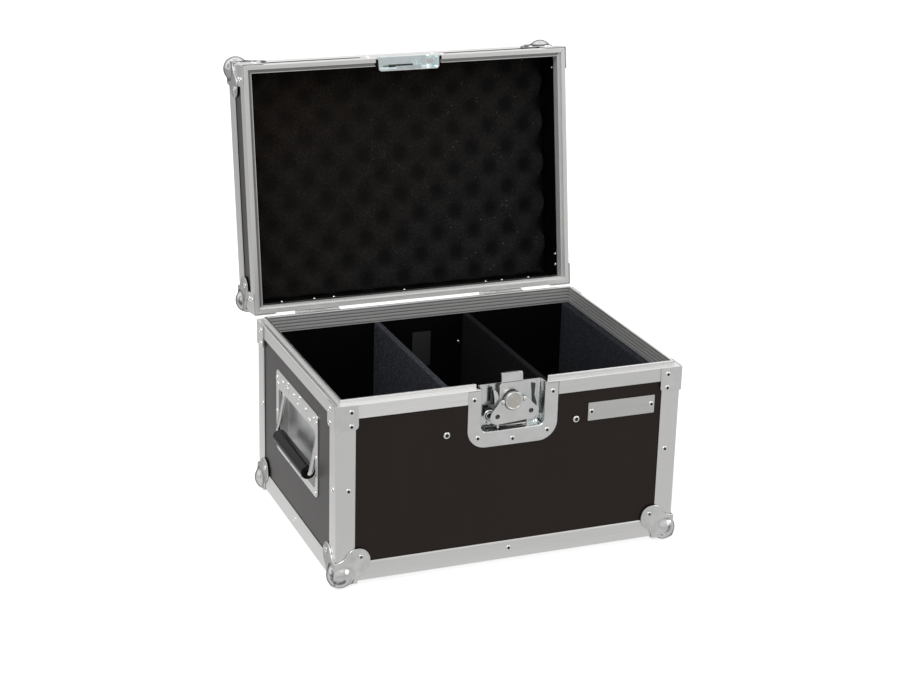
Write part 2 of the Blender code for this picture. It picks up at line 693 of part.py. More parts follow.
def lining_and_dividers():
    """Foam on the floor and up both sides, hollowed behind the handle pockets, and the two upright dividers."""
    out = HALF_W - PANEL_IN - CLEARANCE
    inner = out - WALL_FOAM
    foot = PANEL_THICKNESS + CLEARANCE
    floor = foot + FLOOR_FOAM
    top = RIM_FOOT - CLEARANCE
    outline = [(-out, foot), (out, foot), (out, top), (inner, top), (inner, floor), (-inner, floor),
               (-inner, top), (-out, top)]
    length = CASE_DEPTH - 2 * (PANEL_IN + CLEARANCE)
    matrix = FRONT_ON
    lining = keep("foam_lining", outline_mesh("foam_lining", [outline], length), FOAM, matrix)
    cut(lining, handle_opening("left_lining_hollow", -1, CLEARANCE),
        handle_opening("right_lining_hollow", 1, CLEARANCE))
    reach = length / 2
    for side, sign in (("left", -1), ("right", 1)):
        middle = sign * DIVIDER_PLACE
        block(side + "_divider", (middle - DIVIDER_THICKNESS / 2, -reach, floor + CLEARANCE),
              (middle + DIVIDER_THICKNESS / 2, reach, RIM_FOOT), BOARD)


def nameplate():
    """A blank plate on the front board, held by a rivet at each end."""
    middle = RIM_LINE - NAMEPLATE_DROP
    half = NAMEPLATE_WIDTH / 2
    back = -HALF_D + PANEL_OUT - CLEARANCE
    half_height = NAMEPLATE_HEIGHT / 2
    plate = block("nameplate", (NAMEPLATE_PLACE - half, back - NAMEPLATE_THICKNESS, middle - half_height),
                  (NAMEPLATE_PLACE + half, back, middle + half_height), ALUMINIUM)
    places = [((NAMEPLATE_PLACE + sign * NAMEPLATE_RIVET_PLACE, back - NAMEPLATE_THICKNESS, middle), (0, -1, 0))
              for sign in (-1, 1)]
    join(plate, rivets("nameplate_rivets", places, ALUMINIUM))


# Latch

def dish(name, flange_outline, pocket, hollow, depth, finish, parent=None):
    """A pressed dish in the front: a flange and a pocket made as blocks of outline, then hollowed."""
    body = front_plate(name, [pocket], CLEARANCE, depth - CLEARANCE, finish, parent)
    join(body, front_plate(name + "_flange", [flange_outline], CLEARANCE, SHEET_THICKNESS, finish, parent))
    hollow_depth = depth - SHEET_THICKNESS + OVERRUN
    cut(body, front_plate(name + "_hollow", [hollow], -OVERRUN, hollow_depth, finish, parent))
    return body


def latch_dish():
    """The dish of the butterfly latch, open at the top, with the bore that the spindle turns in."""
    mouth, half = DISH_MOUTH_WIDTH / 2, DISH_FLANGE_WIDTH / 2
    foot = RIM_LINE - DISH_MOUTH_DROP
    wall = SHEET_THICKNESS
    flange = rounded((-half, RIM_LINE - DISH_FLANGE_DROP), (half, RIM_LINE - ANGLE_THICKNESS - CLEARANCE),
                     (DISH_FLANGE_RADIUS, 0.0))
    pocket = rounded((-mouth - wall, foot - wall), (mouth + wall, RIM_LINE), (DISH_MOUTH_RADIUS + wall, 0.0))
    hollow = rounded((-mouth, foot), (mouth, RIM_LINE + OVERRUN), (DISH_MOUTH_RADIUS, 0.0))
    body = dish("latch_dish", flange, pocket, hollow, DISH_DEPTH, ZINC)
    cut(body, rod("spindle_bore", (0, -HALF_D, SPINDLE_Z), (0, -HALF_D + DISH_DEPTH + OVERRUN, SPINDLE_Z),
                  SPINDLE_RADIUS + CLEARANCE, ZINC))
    face = -HALF_D + CLEARANCE
    side = DISH_FLANGE_WIDTH / 2 - DISH_RIVET_INSET
    low = RIM_LINE - DISH_FLANGE_DROP + DISH_RIVET_INSET
    places = [((x, face, z), (0, -1, 0)) for x, z in (
        (-side, RIM_LINE - DISH_RIVET_DROP), (side, RIM_LINE - DISH_RIVET_DROP), (0.0, low),
        (-DISH_RIVET_LOW_PLACE, low + DISH_RIVET_LOW_LIFT), (DISH_RIVET_LOW_PLACE, low + DISH_RIVET_LOW_LIFT))]
    join(body, rivets("latch_dish_rivets", places, ZINC))


def keeper_dish(parent):
    """The dish in the lid that the hook comes up into, open at the bottom, and the tab that the hook holds."""
    mouth, half = DISH_MOUTH_WIDTH / 2, DISH_FLANGE_WIDTH / 2
    wall = SHEET_THICKNESS
    head = LID_LINE + KEEPER_MOUTH_RISE
    flange_foot = LID_LINE + ANGLE_THICKNESS + CLEARANCE
    flange = rounded((-half, flange_foot), (half, LID_LINE + KEEPER_FLANGE_RISE), (0.0, DISH_FLANGE_RADIUS))
    pocket = rounded((-mouth - wall, LID_LINE), (mouth + wall, head + wall), (0.0, DISH_MOUTH_RADIUS + wall))
    hollow = rounded((-mouth, LID_LINE - OVERRUN), (mouth, head), (0.0, DISH_MOUTH_RADIUS))
    body = dish("keeper_dish", flange, pocket, hollow, KEEPER_DEPTH, ZINC, parent)
    back = -HALF_D + KEEPER_DEPTH - wall
    tab_foot = LID_LINE + KEEPER_TAB_RISE
    join(body, block("keeper_tab", (-KEEPER_TAB_WIDTH / 2, -HALF_D + KEEPER_TAB_FRONT, tab_foot),
                     (KEEPER_TAB_WIDTH / 2, back + wall / 2, tab_foot + KEEPER_TAB_THICKNESS), ZINC, parent))
    face = -HALF_D + CLEARANCE
    side = half - DISH_RIVET_INSET
    places = [((x, face, z), (0, -1, 0)) for x, z in (
        (-side, LID_LINE + DISH_RIVET_DROP), (side, LID_LINE + DISH_RIVET_DROP),
        (-DISH_RIVET_LOW_PLACE, head + DISH_RIVET_INSET), (DISH_RIVET_LOW_PLACE, head + DISH_RIVET_INSET))]
    join(body, rivets("keeper_rivets", places, ZINC, parent))


def latch_spindle():
    """The turning part of the latch: boss, wing pins, shaft through the dish and the cam behind the hook."""
    front = -HALF_D - BOSS_PROUD
    boss_back = front + BOSS_LENGTH
    spindle = rod("latch_spindle", (0, front, SPINDLE_Z), (0, boss_back, SPINDLE_Z), BOSS_RADIUS, ZINC)
    bevel_edges(spindle, BOSS_BEVEL)
    pin_y = -HALF_D + WING_AXIS_DEPTH
    pin_end = WING_PIN_END
    pins = rod("wing_pins", (-pin_end, pin_y, SPINDLE_Z), (pin_end, pin_y, SPINDLE_Z), WING_PIN_RADIUS, ZINC)
    cam_back = -HALF_D + DISH_DEPTH - SHEET_THICKNESS - CLEARANCE
    cam_z = SPINDLE_Z + CAM_OFFSET
    join(spindle, pins,
         rod("spindle_shaft", (0, boss_back - BOSS_BEVEL, SPINDLE_Z),
             (0, -HALF_D + DISH_DEPTH + SPINDLE_TAIL, SPINDLE_Z), SPINDLE_RADIUS, ZINC),
         rod("spindle_cam", (0, cam_back - CAM_THICKNESS, cam_z), (0, cam_back, cam_z), CAM_RADIUS, ZINC))


def latch_wing():
    """The butterfly wing, folded flat under the boss, with a knuckle round each pin."""
    lobe = (WING_SPAN / 2, -WING_DROP)
    right = [(WING_ARM_IN, 0.0), (WING_ARM_OUT, 0.0)] + arc(lobe, WING_LOBE_RADIUS, 35, -90)
    outline = right[::-1] + [(-x, y) for x, y in right]
    holes = [arc((sign * lobe[0], lobe[1]), WING_HOLE_RADIUS, 0, 330, 11) for sign in (-1, 1)]
    y = -HALF_D + WING_AXIS_DEPTH
    matrix = Matrix.Translation((0.0, y, SPINDLE_Z)) @ FRONT_ON
    wing = keep("latch_wing", outline_mesh("latch_wing", [outline] + holes, WING_THICKNESS), ZINC, matrix)
    start, end = WING_ARM_IN, WING_ARM_IN + WING_KNUCKLE_LENGTH
    cut(wing, rod("wing_round", (0, y - OVERRUN, SPINDLE_Z), (0, y + OVERRUN, SPINDLE_Z),
                  BOSS_RADIUS + WING_BOSS_GAP, ZINC))
    for name, sign in (("left", -1), ("right", 1)):
        join(wing, rod("wing_knuckle_" + name, (sign * start, y, SPINDLE_Z), (sign * end, y, SPINDLE_Z),
                       WING_KNUCKLE_RADIUS, ZINC))
    bore = WING_PIN_RADIUS + CLEARANCE
    cut(wing, rod("wing_bore", (-HALF_W, y, SPINDLE_Z), (HALF_W, y, SPINDLE_Z), bore, ZINC))


def latch_hook():
    """The sliding hook: a plate with a long slot round the spindle and a lip turned back at its top."""
    top, wide, narrow = RIM_LINE + HOOK_RISE, HOOK_WIDTH / 2, HOOK_TOP_WIDTH / 2
    outline = [(-wide, RIM_LINE - HOOK_DROP), (wide, RIM_LINE - HOOK_DROP), (wide, RIM_LINE - HOOK_SHOULDER),
               (narrow, RIM_LINE + HOOK_SHOULDER), (narrow, top), (-narrow, top),
               (-narrow, RIM_LINE + HOOK_SHOULDER), (-wide, RIM_LINE - HOOK_SHOULDER)]
    radius = SPINDLE_RADIUS + HOOK_SLOT_GAP
    rise = HOOK_TRAVEL * cos(HOOK_LEAN)
    slot = arc((0.0, SPINDLE_Z), radius, 180, 360, 2 * ARC_STEPS)
    slot += arc((0.0, SPINDLE_Z + rise), radius, 0, 180, 2 * ARC_STEPS)
    front = HOOK_FRONT
    hook = front_plate("latch_hook", [outline, slot], front, HOOK_THICKNESS, ZINC)
    join(hook, block("hook_lip", (-narrow, -HALF_D + front, top - HOOK_THICKNESS),
                     (narrow, -HALF_D + front + HOOK_THICKNESS + HOOK_LIP_REACH, top), ZINC))


# Handles

def handle_dish():
    """The left handle's dish: flange, pocket behind it that reaches up over the mouth, bores for the bail."""
    half_flange, half_mouth = HANDLE_FLANGE_LENGTH / 2, HANDLE_MOUTH_LENGTH / 2
    y = HANDLE_CENTRE
    margin, wall = HANDLE_POCKET_MARGIN, SHEET_THICKNESS
    flange_top = HANDLE_FLANGE_BOTTOM + HANDLE_FLANGE_HEIGHT
    flange = rounded((y - half_flange, HANDLE_FLANGE_BOTTOM), (y + half_flange, flange_top),
                     (HANDLE_FLANGE_RADIUS, HANDLE_FLANGE_RADIUS))
    inner_low = (y - half_mouth - margin, HANDLE_MOUTH_LOW - margin)
    inner_high = (y + half_mouth + margin, HANDLE_MOUTH_TOP + HANDLE_POCKET_ROOF)
    outer_low = (inner_low[0] - wall, inner_low[1] - wall)
    outer_high = (inner_high[0] + wall, inner_high[1] + wall)
    radii = (HANDLE_MOUTH_RADIUS, HANDLE_MOUTH_RADIUS)
    mouth = rounded((y - half_mouth, HANDLE_MOUTH_LOW), (y + half_mouth, HANDLE_MOUTH_TOP), radii)
    body = side_plate("left_handle_dish", [rounded(outer_low, outer_high, radii)], CLEARANCE,
                      HANDLE_DEPTH - CLEARANCE, ZINC)
    join(body, side_plate("handle_flange", [flange], CLEARANCE, wall, ZINC))
    cut(body, side_plate("handle_hollow", [rounded(inner_low, inner_high, radii)], CLEARANCE + wall,
                         HANDLE_DEPTH - CLEARANCE - 2 * wall, ZINC),
        side_plate("handle_mouth", [mouth], -OVERRUN, OVERRUN + CLEARANCE + 2 * wall, ZINC),
        rod("handle_bores", (-HALF_W + BAIL_PIVOT_DEPTH, -HALF_D, BAIL_PIVOT_Z),
            (-HALF_W + BAIL_PIVOT_DEPTH, HALF_D, BAIL_PIVOT_Z), BAIL_RADIUS + CLEARANCE, ZINC))
    inset = HANDLE_RIVET_INSET
    top, foot, end = flange_top - inset, HANDLE_FLANGE_BOTTOM + inset, half_flange - inset
    spots = [(0.0, top), (-HANDLE_RIVET_SPACING, top), (HANDLE_RIVET_SPACING, top), (0.0, foot),
             (-HANDLE_RIVET_SPACING, foot), (HANDLE_RIVET_SPACING, foot), (-end + inset, top),
             (end - inset, top), (-end + inset, foot), (end - inset, foot),
             (-end, HANDLE_FLANGE_BOTTOM + HANDLE_RIVET_SIDE), (end, HANDLE_FLANGE_BOTTOM + HANDLE_RIVET_SIDE)]
    face = -HALF_W + CLEARANCE
    join(body, rivets("handle_rivets", [((face, y + along, up), (-1, 0, 0)) for along, up in spots], ZINC))
    return finished(body)


def bail_path():
    """The bail's centre line from stub to stub, in Y across and Z down, its pivot line at zero."""
    half, drop, bend = BAIL_WIDTH / 2, BAIL_DROP, BAIL_BEND_RADIUS
    stub_bend = BAIL_STUB_BEND
    right = [(BAIL_STUB_END, 0.0)] + arc((half + stub_bend, -stub_bend), stub_bend, 90, 180, ARC_STEPS)
    right += arc((half - bend, -drop + bend), bend, 0, -90, ARC_STEPS)
    return right + [(-across, down) for across, down in reversed(right)]


def wire(name, points, radius, resolution=2):
    """A round wire along points, with flat ends."""
    curve = bpy.data.curves.new(name, "CURVE")
    curve.dimensions = "3D"
    curve.bevel_depth = radius
    curve.bevel_resolution = resolution
    curve.use_fill_caps = True
    spline = curve.splines.new("POLY")
    spline.points.add(len(points) - 1)
    for place, point in zip(spline.points, points):
        place.co = (*point, 1.0)
    mesh = solid_from_curve(name, curve)
    smooth(mesh)
    return mesh


def handle_moving(side, turn):
    """Bail, rubber grip and return spring of one handle; the right one is the left one turned half round."""
    pivot = Matrix.Translation((-HALF_W + BAIL_PIVOT_DEPTH, HANDLE_CENTRE, BAIL_PIVOT_Z))
    placed = turn @ pivot
    hub = bpy.data.objects.new(side + "_handle_pivot", None)
    PARTS.objects.link(hub)
    hub.location = placed.translation
    lean = BAIL_LEAN_OUT / BAIL_DROP
    points = [(lean * down, across, down) for across, down in bail_path()]
    keep(side + "_handle_bail", wire("bail", points, BAIL_RADIUS, 3), ZINC, placed, hub)
    grip_out, grip_down = -BAIL_LEAN_OUT, -BAIL_DROP
    start = placed @ Vector((grip_out, -GRIP_LENGTH / 2, grip_down))
    end = placed @ Vector((grip_out, GRIP_LENGTH / 2, grip_down))
    grip = rod(side + "_handle_grip", start, end, GRIP_RADIUS, RUBBER, hub)
    bevel_edges(grip, GRIP_BEVEL)
    along = (end - start).normalized() * OVERRUN
    cut(grip, rod(side + "_grip_bore", start - along, end + along, BAIL_RADIUS + CLEARANCE, RUBBER, hub))
    steps = SPRING_TURNS * SPRING_STEPS
    coil = [(SPRING_RADIUS * cos(tau * step / SPRING_STEPS),
             SPRING_START + SPRING_PITCH * step / SPRING_STEPS,
             SPRING_RADIUS * sin(tau * step / SPRING_STEPS)) for step in range(steps + 1)]
    keep(side + "_handle_spring", wire("spring", coil, SPRING_WIRE_RADIUS), ZINC, placed)


# Lid, drawn shut

def lid_body(parent):
    """Walls as one frame, the board inside them, the edge angles as one frame and the closing profile."""
    across, deep = HALF_W - PANEL_OUT, HALF_D - PANEL_OUT
    inner_x, inner_y = HALF_W - PANEL_IN, HALF_D - PANEL_IN
    foot = LID_LINE + LID_STEP_HEIGHT + ANGLE_THICKNESS + CLEARANCE
    head = LID_TOP - ANGLE_THICKNESS - CLEARANCE
    walls = block("lid_walls", (-across, -deep, foot), (across, deep, head), PLYWOOD, parent)
    mouth = DISH_MOUTH_WIDTH / 2 + SHEET_THICKNESS + CLEARANCE
    mouth_head = LID_LINE + KEEPER_MOUTH_RISE + SHEET_THICKNESS + CLEARANCE
    cut(walls, block("lid_walls_inside", (-inner_x, -inner_y, foot - OVERRUN),
                     (inner_x, inner_y, head + OVERRUN), PLYWOOD, parent),
        block("lid_keeper_opening", (-mouth, -HALF_D - OVERRUN, foot - OVERRUN),
              (mouth, -inner_y + OVERRUN, mouth_head), PLYWOOD, parent))
    edge_x, edge_y = inner_x - CLEARANCE, inner_y - CLEARANCE
    block("lid_panel", (-edge_x, -edge_y, head - PANEL_THICKNESS), (edge_x, edge_y, head), PLYWOOD, parent)
    foam_top = head - PANEL_THICKNESS - CLEARANCE
    egg_crate("lid_foam", edge_x, edge_y, foam_top, parent)
    lid_edges(parent)
    lid_closing_profile(parent)


def lid_edges(parent):
    """The edge angles round the lid's top and down its corners, cut out of one box."""
    foot = LID_RIM_HEAD + CLEARANCE
    frame = block("lid_edge_frame", (-HALF_W, -HALF_D, foot), (HALF_W, HALF_D, LID_TOP), ALUMINIUM, parent)
    wall, leg, past = ANGLE_THICKNESS, ANGLE_LEG, OVERRUN
    cut(frame,
        block("lid_frame_inside", (-HALF_W + wall, -HALF_D + wall, foot - past),
              (HALF_W - wall, HALF_D - wall, LID_TOP - wall), ALUMINIUM, parent),
        block("lid_frame_top", (-HALF_W + leg, -HALF_D + leg, foot),
              (HALF_W - leg, HALF_D - leg, LID_TOP + past), ALUMINIUM, parent),
        block("lid_frame_front_back", (-HALF_W + leg, -HALF_D - past, foot - past),
              (HALF_W - leg, HALF_D + past, LID_TOP - leg), ALUMINIUM, parent),
        block("lid_frame_sides", (-HALF_W - past, -HALF_D + leg, foot - past),
              (HALF_W + past, HALF_D - leg, LID_TOP - leg), ALUMINIUM, parent))


def lid_closing_profile(parent):
    """The lid's closing profile, whose step takes the base's tongue, with a gap at the front for the keeper."""
    wall, step, width = ANGLE_THICKNESS, LID_STEP_PLACE, RIM_WIDTH
    inner, roof = width - INNER_LEG_THICKNESS, LID_STEP_HEIGHT
    profile = [(0.0, 0.0), (step, 0.0), (step, roof), (width, roof), (width, RIM_LEG), (inner, RIM_LEG),
               (inner, roof + wall), (step - wall, roof + wall), (step - wall, wall), (wall, wall),
               (wall, RIM_LEG), (0.0, RIM_LEG)]
    shape = bmesh.new()
    loops = []
    for x_sign, y_sign in ((-1, -1), (1, -1), (1, 1), (-1, 1)):
        loops.append([shape.verts.new((x_sign * (HALF_W - u), y_sign * (HALF_D - u), LID_LINE + v))
                      for u, v in profile])
    for index, loop in enumerate(loops):
        following = loops[(index + 1) % len(loops)]
        for point in range(len(profile)):
            after = (point + 1) % len(profile)
            shape.faces.new((loop[point], following[point], following[after], loop[after]))
    bmesh.ops.recalc_face_normals(shape, faces=shape.faces)
    mesh = bpy.data.meshes.new("lid_rim")
    shape.to_mesh(mesh)
    shape.free()
    rim = keep("lid_rim", mesh, ALUMINIUM, Matrix(), parent)
    mouth = DISH_MOUTH_WIDTH / 2 + SHEET_THICKNESS + CLEARANCE
    past = OVERRUN
    cut(rim, block("lid_rim_gap", (-mouth, -HALF_D - past, LID_LINE - past),
                   (mouth, -HALF_D + past, LID_RIM_HEAD + past), ALUMINIUM, parent),
        flange_cut("lid_flange_cut_left", -1, LID_LINE + wall - CLEARANCE, LID_RIM_HEAD + past, parent),
        flange_cut("lid_flange_cut_right", 1, LID_LINE + wall - CLEARANCE, LID_RIM_HEAD + past, parent))


def egg_crate(name, half_x, half_y, top, parent):
    """Convoluted foam: a flat back at the top and a face of staggered peaks and hollows under it."""
    columns = round(2 * half_x / LID_FOAM_ALONG * LID_FOAM_STEPS)
    rows = round(2 * half_y / LID_FOAM_ACROSS * LID_FOAM_STEPS)
    shape = bmesh.new()
    bmesh.ops.create_grid(shape, x_segments=columns, y_segments=rows, size=1.0)
    for vertex in shape.verts:
        x, y = vertex.co.x * half_x, vertex.co.y * half_y
        wave = cos(tau * x / LID_FOAM_ALONG) * cos(tau * y / LID_FOAM_ACROSS)
        vertex.co = (x, y, top - LID_FOAM_BASE - LID_FOAM_WAVE * (1 + wave) / 2)
    rim = [edge for edge in shape.edges if edge.is_boundary]
    raised = bmesh.ops.extrude_edge_only(shape, edges=rim)["geom"]
    for vertex in [item for item in raised if isinstance(item, bmesh.types.BMVert)]:
        vertex.co.z = top
    bmesh.ops.contextual_create(shape, geom=[edge for edge in shape.edges if edge.is_boundary])
    bmesh.ops.recalc_face_normals(shape, faces=shape.faces)
    mesh = bpy.data.meshes.new(name)
    shape.to_mesh(mesh)
    shape.free()
    smooth(mesh)
    keep(name, mesh, FOAM, Matrix(), parent)


# Stay hinges

def hinge_box(name, place, across, along, up, finish, parent=None):
    """A box by its X from the hinge's middle, and its Y and Z from the hinge axis."""
    low = LID_AXIS + Vector((place + across[0], along[0], up[0]))
    high = LID_AXIS + Vector((place + across[1], along[1], up[1]))
    return block(name, low, high, finish, parent)


def hinge_rod(name, place, across, radius, finish, parent=None):
    """A rod on the hinge axis, by its X from the hinge's middle."""
    start = LID_AXIS + Vector((place + across[0], 0.0, 0.0))
    return rod(name, start, start + Vector((across[1] - across[0], 0.0, 0.0)), radius, finish, parent)


def stay_hinge(side, place, parent):
    """One stay hinge: a base leaf with the pin and the arm that the open lid rests on, and a lid leaf."""
    half, middle, gap = HINGE_WIDTH / 2, HINGE_MIDDLE / 2, HINGE_RUNNING_GAP
    near = -HINGE_AXIS_BACK + CLEARANCE
    far = near + HINGE_LEAF_THICKNESS
    radius = HINGE_KNUCKLE_RADIUS
    base = hinge_box("hinge_base_leaf_" + side, place, (-half, half), (near, far), (-HINGE_BASE_LEAF, 0.0),
                     ZINC)
    cut(base, hinge_box("hinge_notch_" + side, place, (-middle - gap, middle + gap),
                        (near - OVERRUN, far + OVERRUN), (-HINGE_NOTCH, OVERRUN), ZINC))
    join(base, hinge_rod("hinge_knuckle_one_" + side, place, (-half, -middle - gap), radius, ZINC),
         hinge_rod("hinge_knuckle_two_" + side, place, (middle + gap, half), radius, ZINC),
         hinge_rod("hinge_pin_" + side, place, (-half + gap, half - gap), HINGE_PIN_RADIUS, ZINC),
         stay_arm("hinge_stay_" + side, place - half, near, far))
    rivet_face = LID_AXIS.y + far
    low = LID_AXIS.z - HINGE_BASE_LEAF * HINGE_RIVET_SHARE
    spots = [((place + sign * half * HINGE_RIVET_SHARE, rivet_face, low), (0, 1, 0)) for sign in (-1, 1)]
    join(base, rivets("hinge_base_rivets_" + side, spots, ZINC))
    left = -half + HINGE_STAY_WIDTH + 2 * gap
    leaf = hinge_box("hinge_lid_leaf_" + side, place, (left, half), (near, far), (HINGE_NOTCH, HINGE_LID_LEAF),
                     ZINC, parent)
    join(leaf, hinge_box("hinge_tongue_" + side, place, (-middle, middle), (near, far),
                         (0.0, HINGE_LID_LEAF / 2), ZINC, parent),
         hinge_rod("hinge_barrel_" + side, place, (-middle, middle), radius, ZINC, parent))
    cut(leaf, hinge_rod("hinge_bore_" + side, place, (-half, half), HINGE_PIN_RADIUS + gap, ZINC, parent))
    high = LID_AXIS.z + HINGE_LID_LEAF * HINGE_RIVET_SHARE
    spots = [((place + across, rivet_face, high), (0, 1, 0)) for across in (left * HINGE_RIVET_SHARE,
                                                                            half * HINGE_RIVET_SHARE)]
    join(leaf, rivets("hinge_lid_rivets_" + side, spots, ZINC, parent))


def stay_arm(name, left, near, far):
    """The arm behind the axis that stops the lid, its top along the open lid's back with the usual gap."""
    lean = LID_OPEN - pi / 2
    tip, heel = HINGE_STAY_REACH, HINGE_STAY_HEEL
    under_tip = (HINGE_AXIS_BACK - CLEARANCE - tip * sin(lean)) / cos(lean)
    under_heel = (HINGE_AXIS_BACK - CLEARANCE - heel * sin(lean)) / cos(lean)
    outline = [(near, -HINGE_STAY_FOOT), (far, -HINGE_STAY_FOOT), (tip, under_tip - HINGE_STAY_DEPTH),
               (tip, under_tip), (heel, under_heel), (far, 0.0), (near, 0.0)]
    mesh = outline_mesh(name, [outline], HINGE_STAY_WIDTH)
    matrix = Matrix.Translation(LID_AXIS + Vector((left + HINGE_STAY_WIDTH / 2, 0.0, 0.0))) @ SIDE_ON
    return keep(name, mesh, ZINC, matrix)


def main():
    """Makes the case from its base up, then the lid, which is turned open last."""
    base_panels()
    bottom_angles()
    upright_angles()
    base_rim()
    lining_and_dividers()
    nameplate()
    latch_dish()
    latch_spindle()
    latch_wing()
    latch_hook()
    half_turn = Matrix.Rotation(pi, 4, "Z")
    dish_left = handle_dish()
    copy_turned(dish_left, "right_handle_dish", half_turn @ dish_left.matrix_world)
    handle_moving("left", Matrix())
    handle_moving("right", half_turn)
    lid = bpy.data.objects.new("lid_axis", None)
    PARTS.objects.link(lid)
    lid.location = LID_AXIS
    lid_body(lid)
    keeper_dish(lid)
    for side, place in (("left", HINGE_LEFT), ("right", HINGE_RIGHT)):
        stay_hinge(side, place, lid)
    ball = ball_corner_shape()
    corner_copies(ball, "base_ball_corner_", BASE_BOTTOM, False)
    corner_copies(ball, "lid_ball_corner_", LID_TOP, True, lid)
    bpy.data.objects.remove(ball, do_unlink=True)
    base_brace = brace_shape("base_brace", BASE_BRACE_HEIGHT, BRACE_RIVET_SPACING)
    corner_copies(base_brace, "base_corner_brace_", RIM_LINE, True)
    bpy.data.objects.remove(base_brace, do_unlink=True)
    lid_brace = brace_shape("lid_brace", LID_BRACE_HEIGHT, LID_BRACE_RIVET_SPACING)
    corner_copies(lid_brace, "lid_corner_brace_", LID_LINE, False, lid)
    bpy.data.objects.remove(lid_brace, do_unlink=True)
    lid.rotation_euler.x = -LID_OPEN


main()
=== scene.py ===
"""Lighting flight case: the detailed surfaces and finishes that are laid over its fixed model."""

from math import cos, pi, radians, sin, tau

import bmesh
import bpy
import numpy as np
from bpy.props import FloatProperty, FloatVectorProperty, PointerProperty
from mathutils import Matrix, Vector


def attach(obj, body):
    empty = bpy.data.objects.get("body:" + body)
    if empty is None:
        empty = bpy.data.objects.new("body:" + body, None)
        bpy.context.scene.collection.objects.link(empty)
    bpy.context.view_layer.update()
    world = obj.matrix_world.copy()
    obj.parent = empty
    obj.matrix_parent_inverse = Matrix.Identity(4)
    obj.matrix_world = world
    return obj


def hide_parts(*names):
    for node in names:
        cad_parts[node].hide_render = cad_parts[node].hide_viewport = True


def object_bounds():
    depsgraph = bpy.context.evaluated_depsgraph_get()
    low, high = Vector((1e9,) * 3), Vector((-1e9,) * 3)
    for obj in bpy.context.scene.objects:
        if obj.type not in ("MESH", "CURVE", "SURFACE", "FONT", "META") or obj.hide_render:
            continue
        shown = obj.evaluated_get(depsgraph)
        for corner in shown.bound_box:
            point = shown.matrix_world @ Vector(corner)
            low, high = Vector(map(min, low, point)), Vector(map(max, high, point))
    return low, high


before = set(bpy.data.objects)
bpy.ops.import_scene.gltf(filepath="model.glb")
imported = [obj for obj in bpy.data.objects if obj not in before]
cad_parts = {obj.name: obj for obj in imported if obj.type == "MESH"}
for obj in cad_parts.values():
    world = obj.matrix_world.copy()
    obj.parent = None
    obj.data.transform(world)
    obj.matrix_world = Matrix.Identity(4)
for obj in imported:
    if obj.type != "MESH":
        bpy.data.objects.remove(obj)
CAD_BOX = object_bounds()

bl_info = {
    "name": "Lighting flight case",
    "version": (1, 0, 0),
    "blender": (4, 5, 0),
    "location": "View3D > Sidebar > Flight case",
    "description": "Builds the detailed surfaces and finishes of a lighting flight case over its fixed model",
    "category": "Object",
}

# Sizes of the model, in metres: half the case outside its edging, and levels from its bottom to its top
MM = 0.001
HALF_W, HALF_D = 215.0 * MM, 154.5 * MM
BASE_BOTTOM, LID_TOP = -1.8 * MM, 288.5 * MM
RIM_FOOT, RIM_LINE, LID_LINE, LID_RIM_HEAD = 200.2 * MM, 217.2 * MM, 217.6 * MM, 234.6 * MM
# Outer and inner face of a board behind the outermost plane, and half the room between the boards
BOARD_OUT, BOARD_IN = 1.8 * MM, 7.8 * MM
INSIDE_W, INSIDE_D = 206.7 * MM, 146.2 * MM
# Latch: half the gap that it leaves in each closing profile, half its flange, its spindle's level and tilt
LATCH_GAP, KEEPER_GAP, LATCH_FLANGE = 41.0 * MM, 44.0 * MM, 56.55 * MM
SPINDLE_Z, WING_TILT = 199.2 * MM, radians(4.2)
# Depth of a pressed flange's face, place of the rivets in a ball corner's petals, middle of the handles in Y
SHEET_FRONT = 0.3 * MM
PETAL_SEAT = 30.8 * MM
HANDLE_MIDDLE = -4.5 * MM
LID_AXIS = np.array((0.0, 160.2, 214.4)) * MM
LID_OPEN = radians(98.5)
FLOOR_Z = CAD_BOX[0][2]
FRONT, BACK, LEFT, RIGHT, UP, DOWN = (0, -1, 0), (0, 1, 0), (-1, 0, 0), (1, 0, 0), (0, 0, 1), (0, 0, -1)
# Middle of each side, its direction into the case, half its length and the axis that it runs along
SIDES = {"front": ((0, -HALF_D), BACK, HALF_W, "x"), "back": ((0, HALF_D), FRONT, HALF_W, "x"),
         "left": ((-HALF_W, 0), RIGHT, HALF_D, "y"), "right": ((HALF_W, 0), LEFT, HALF_D, "y")}
# Name of each corner, quarter turns of a corner piece, and the signs of its X and Y
CORNERS = (("front_left", 0, -1, -1), ("front_right", 1, 1, -1), ("back_right", 2, 1, 1),
           ("back_left", 3, -1, 1))


# Sizes and colours that a user would change

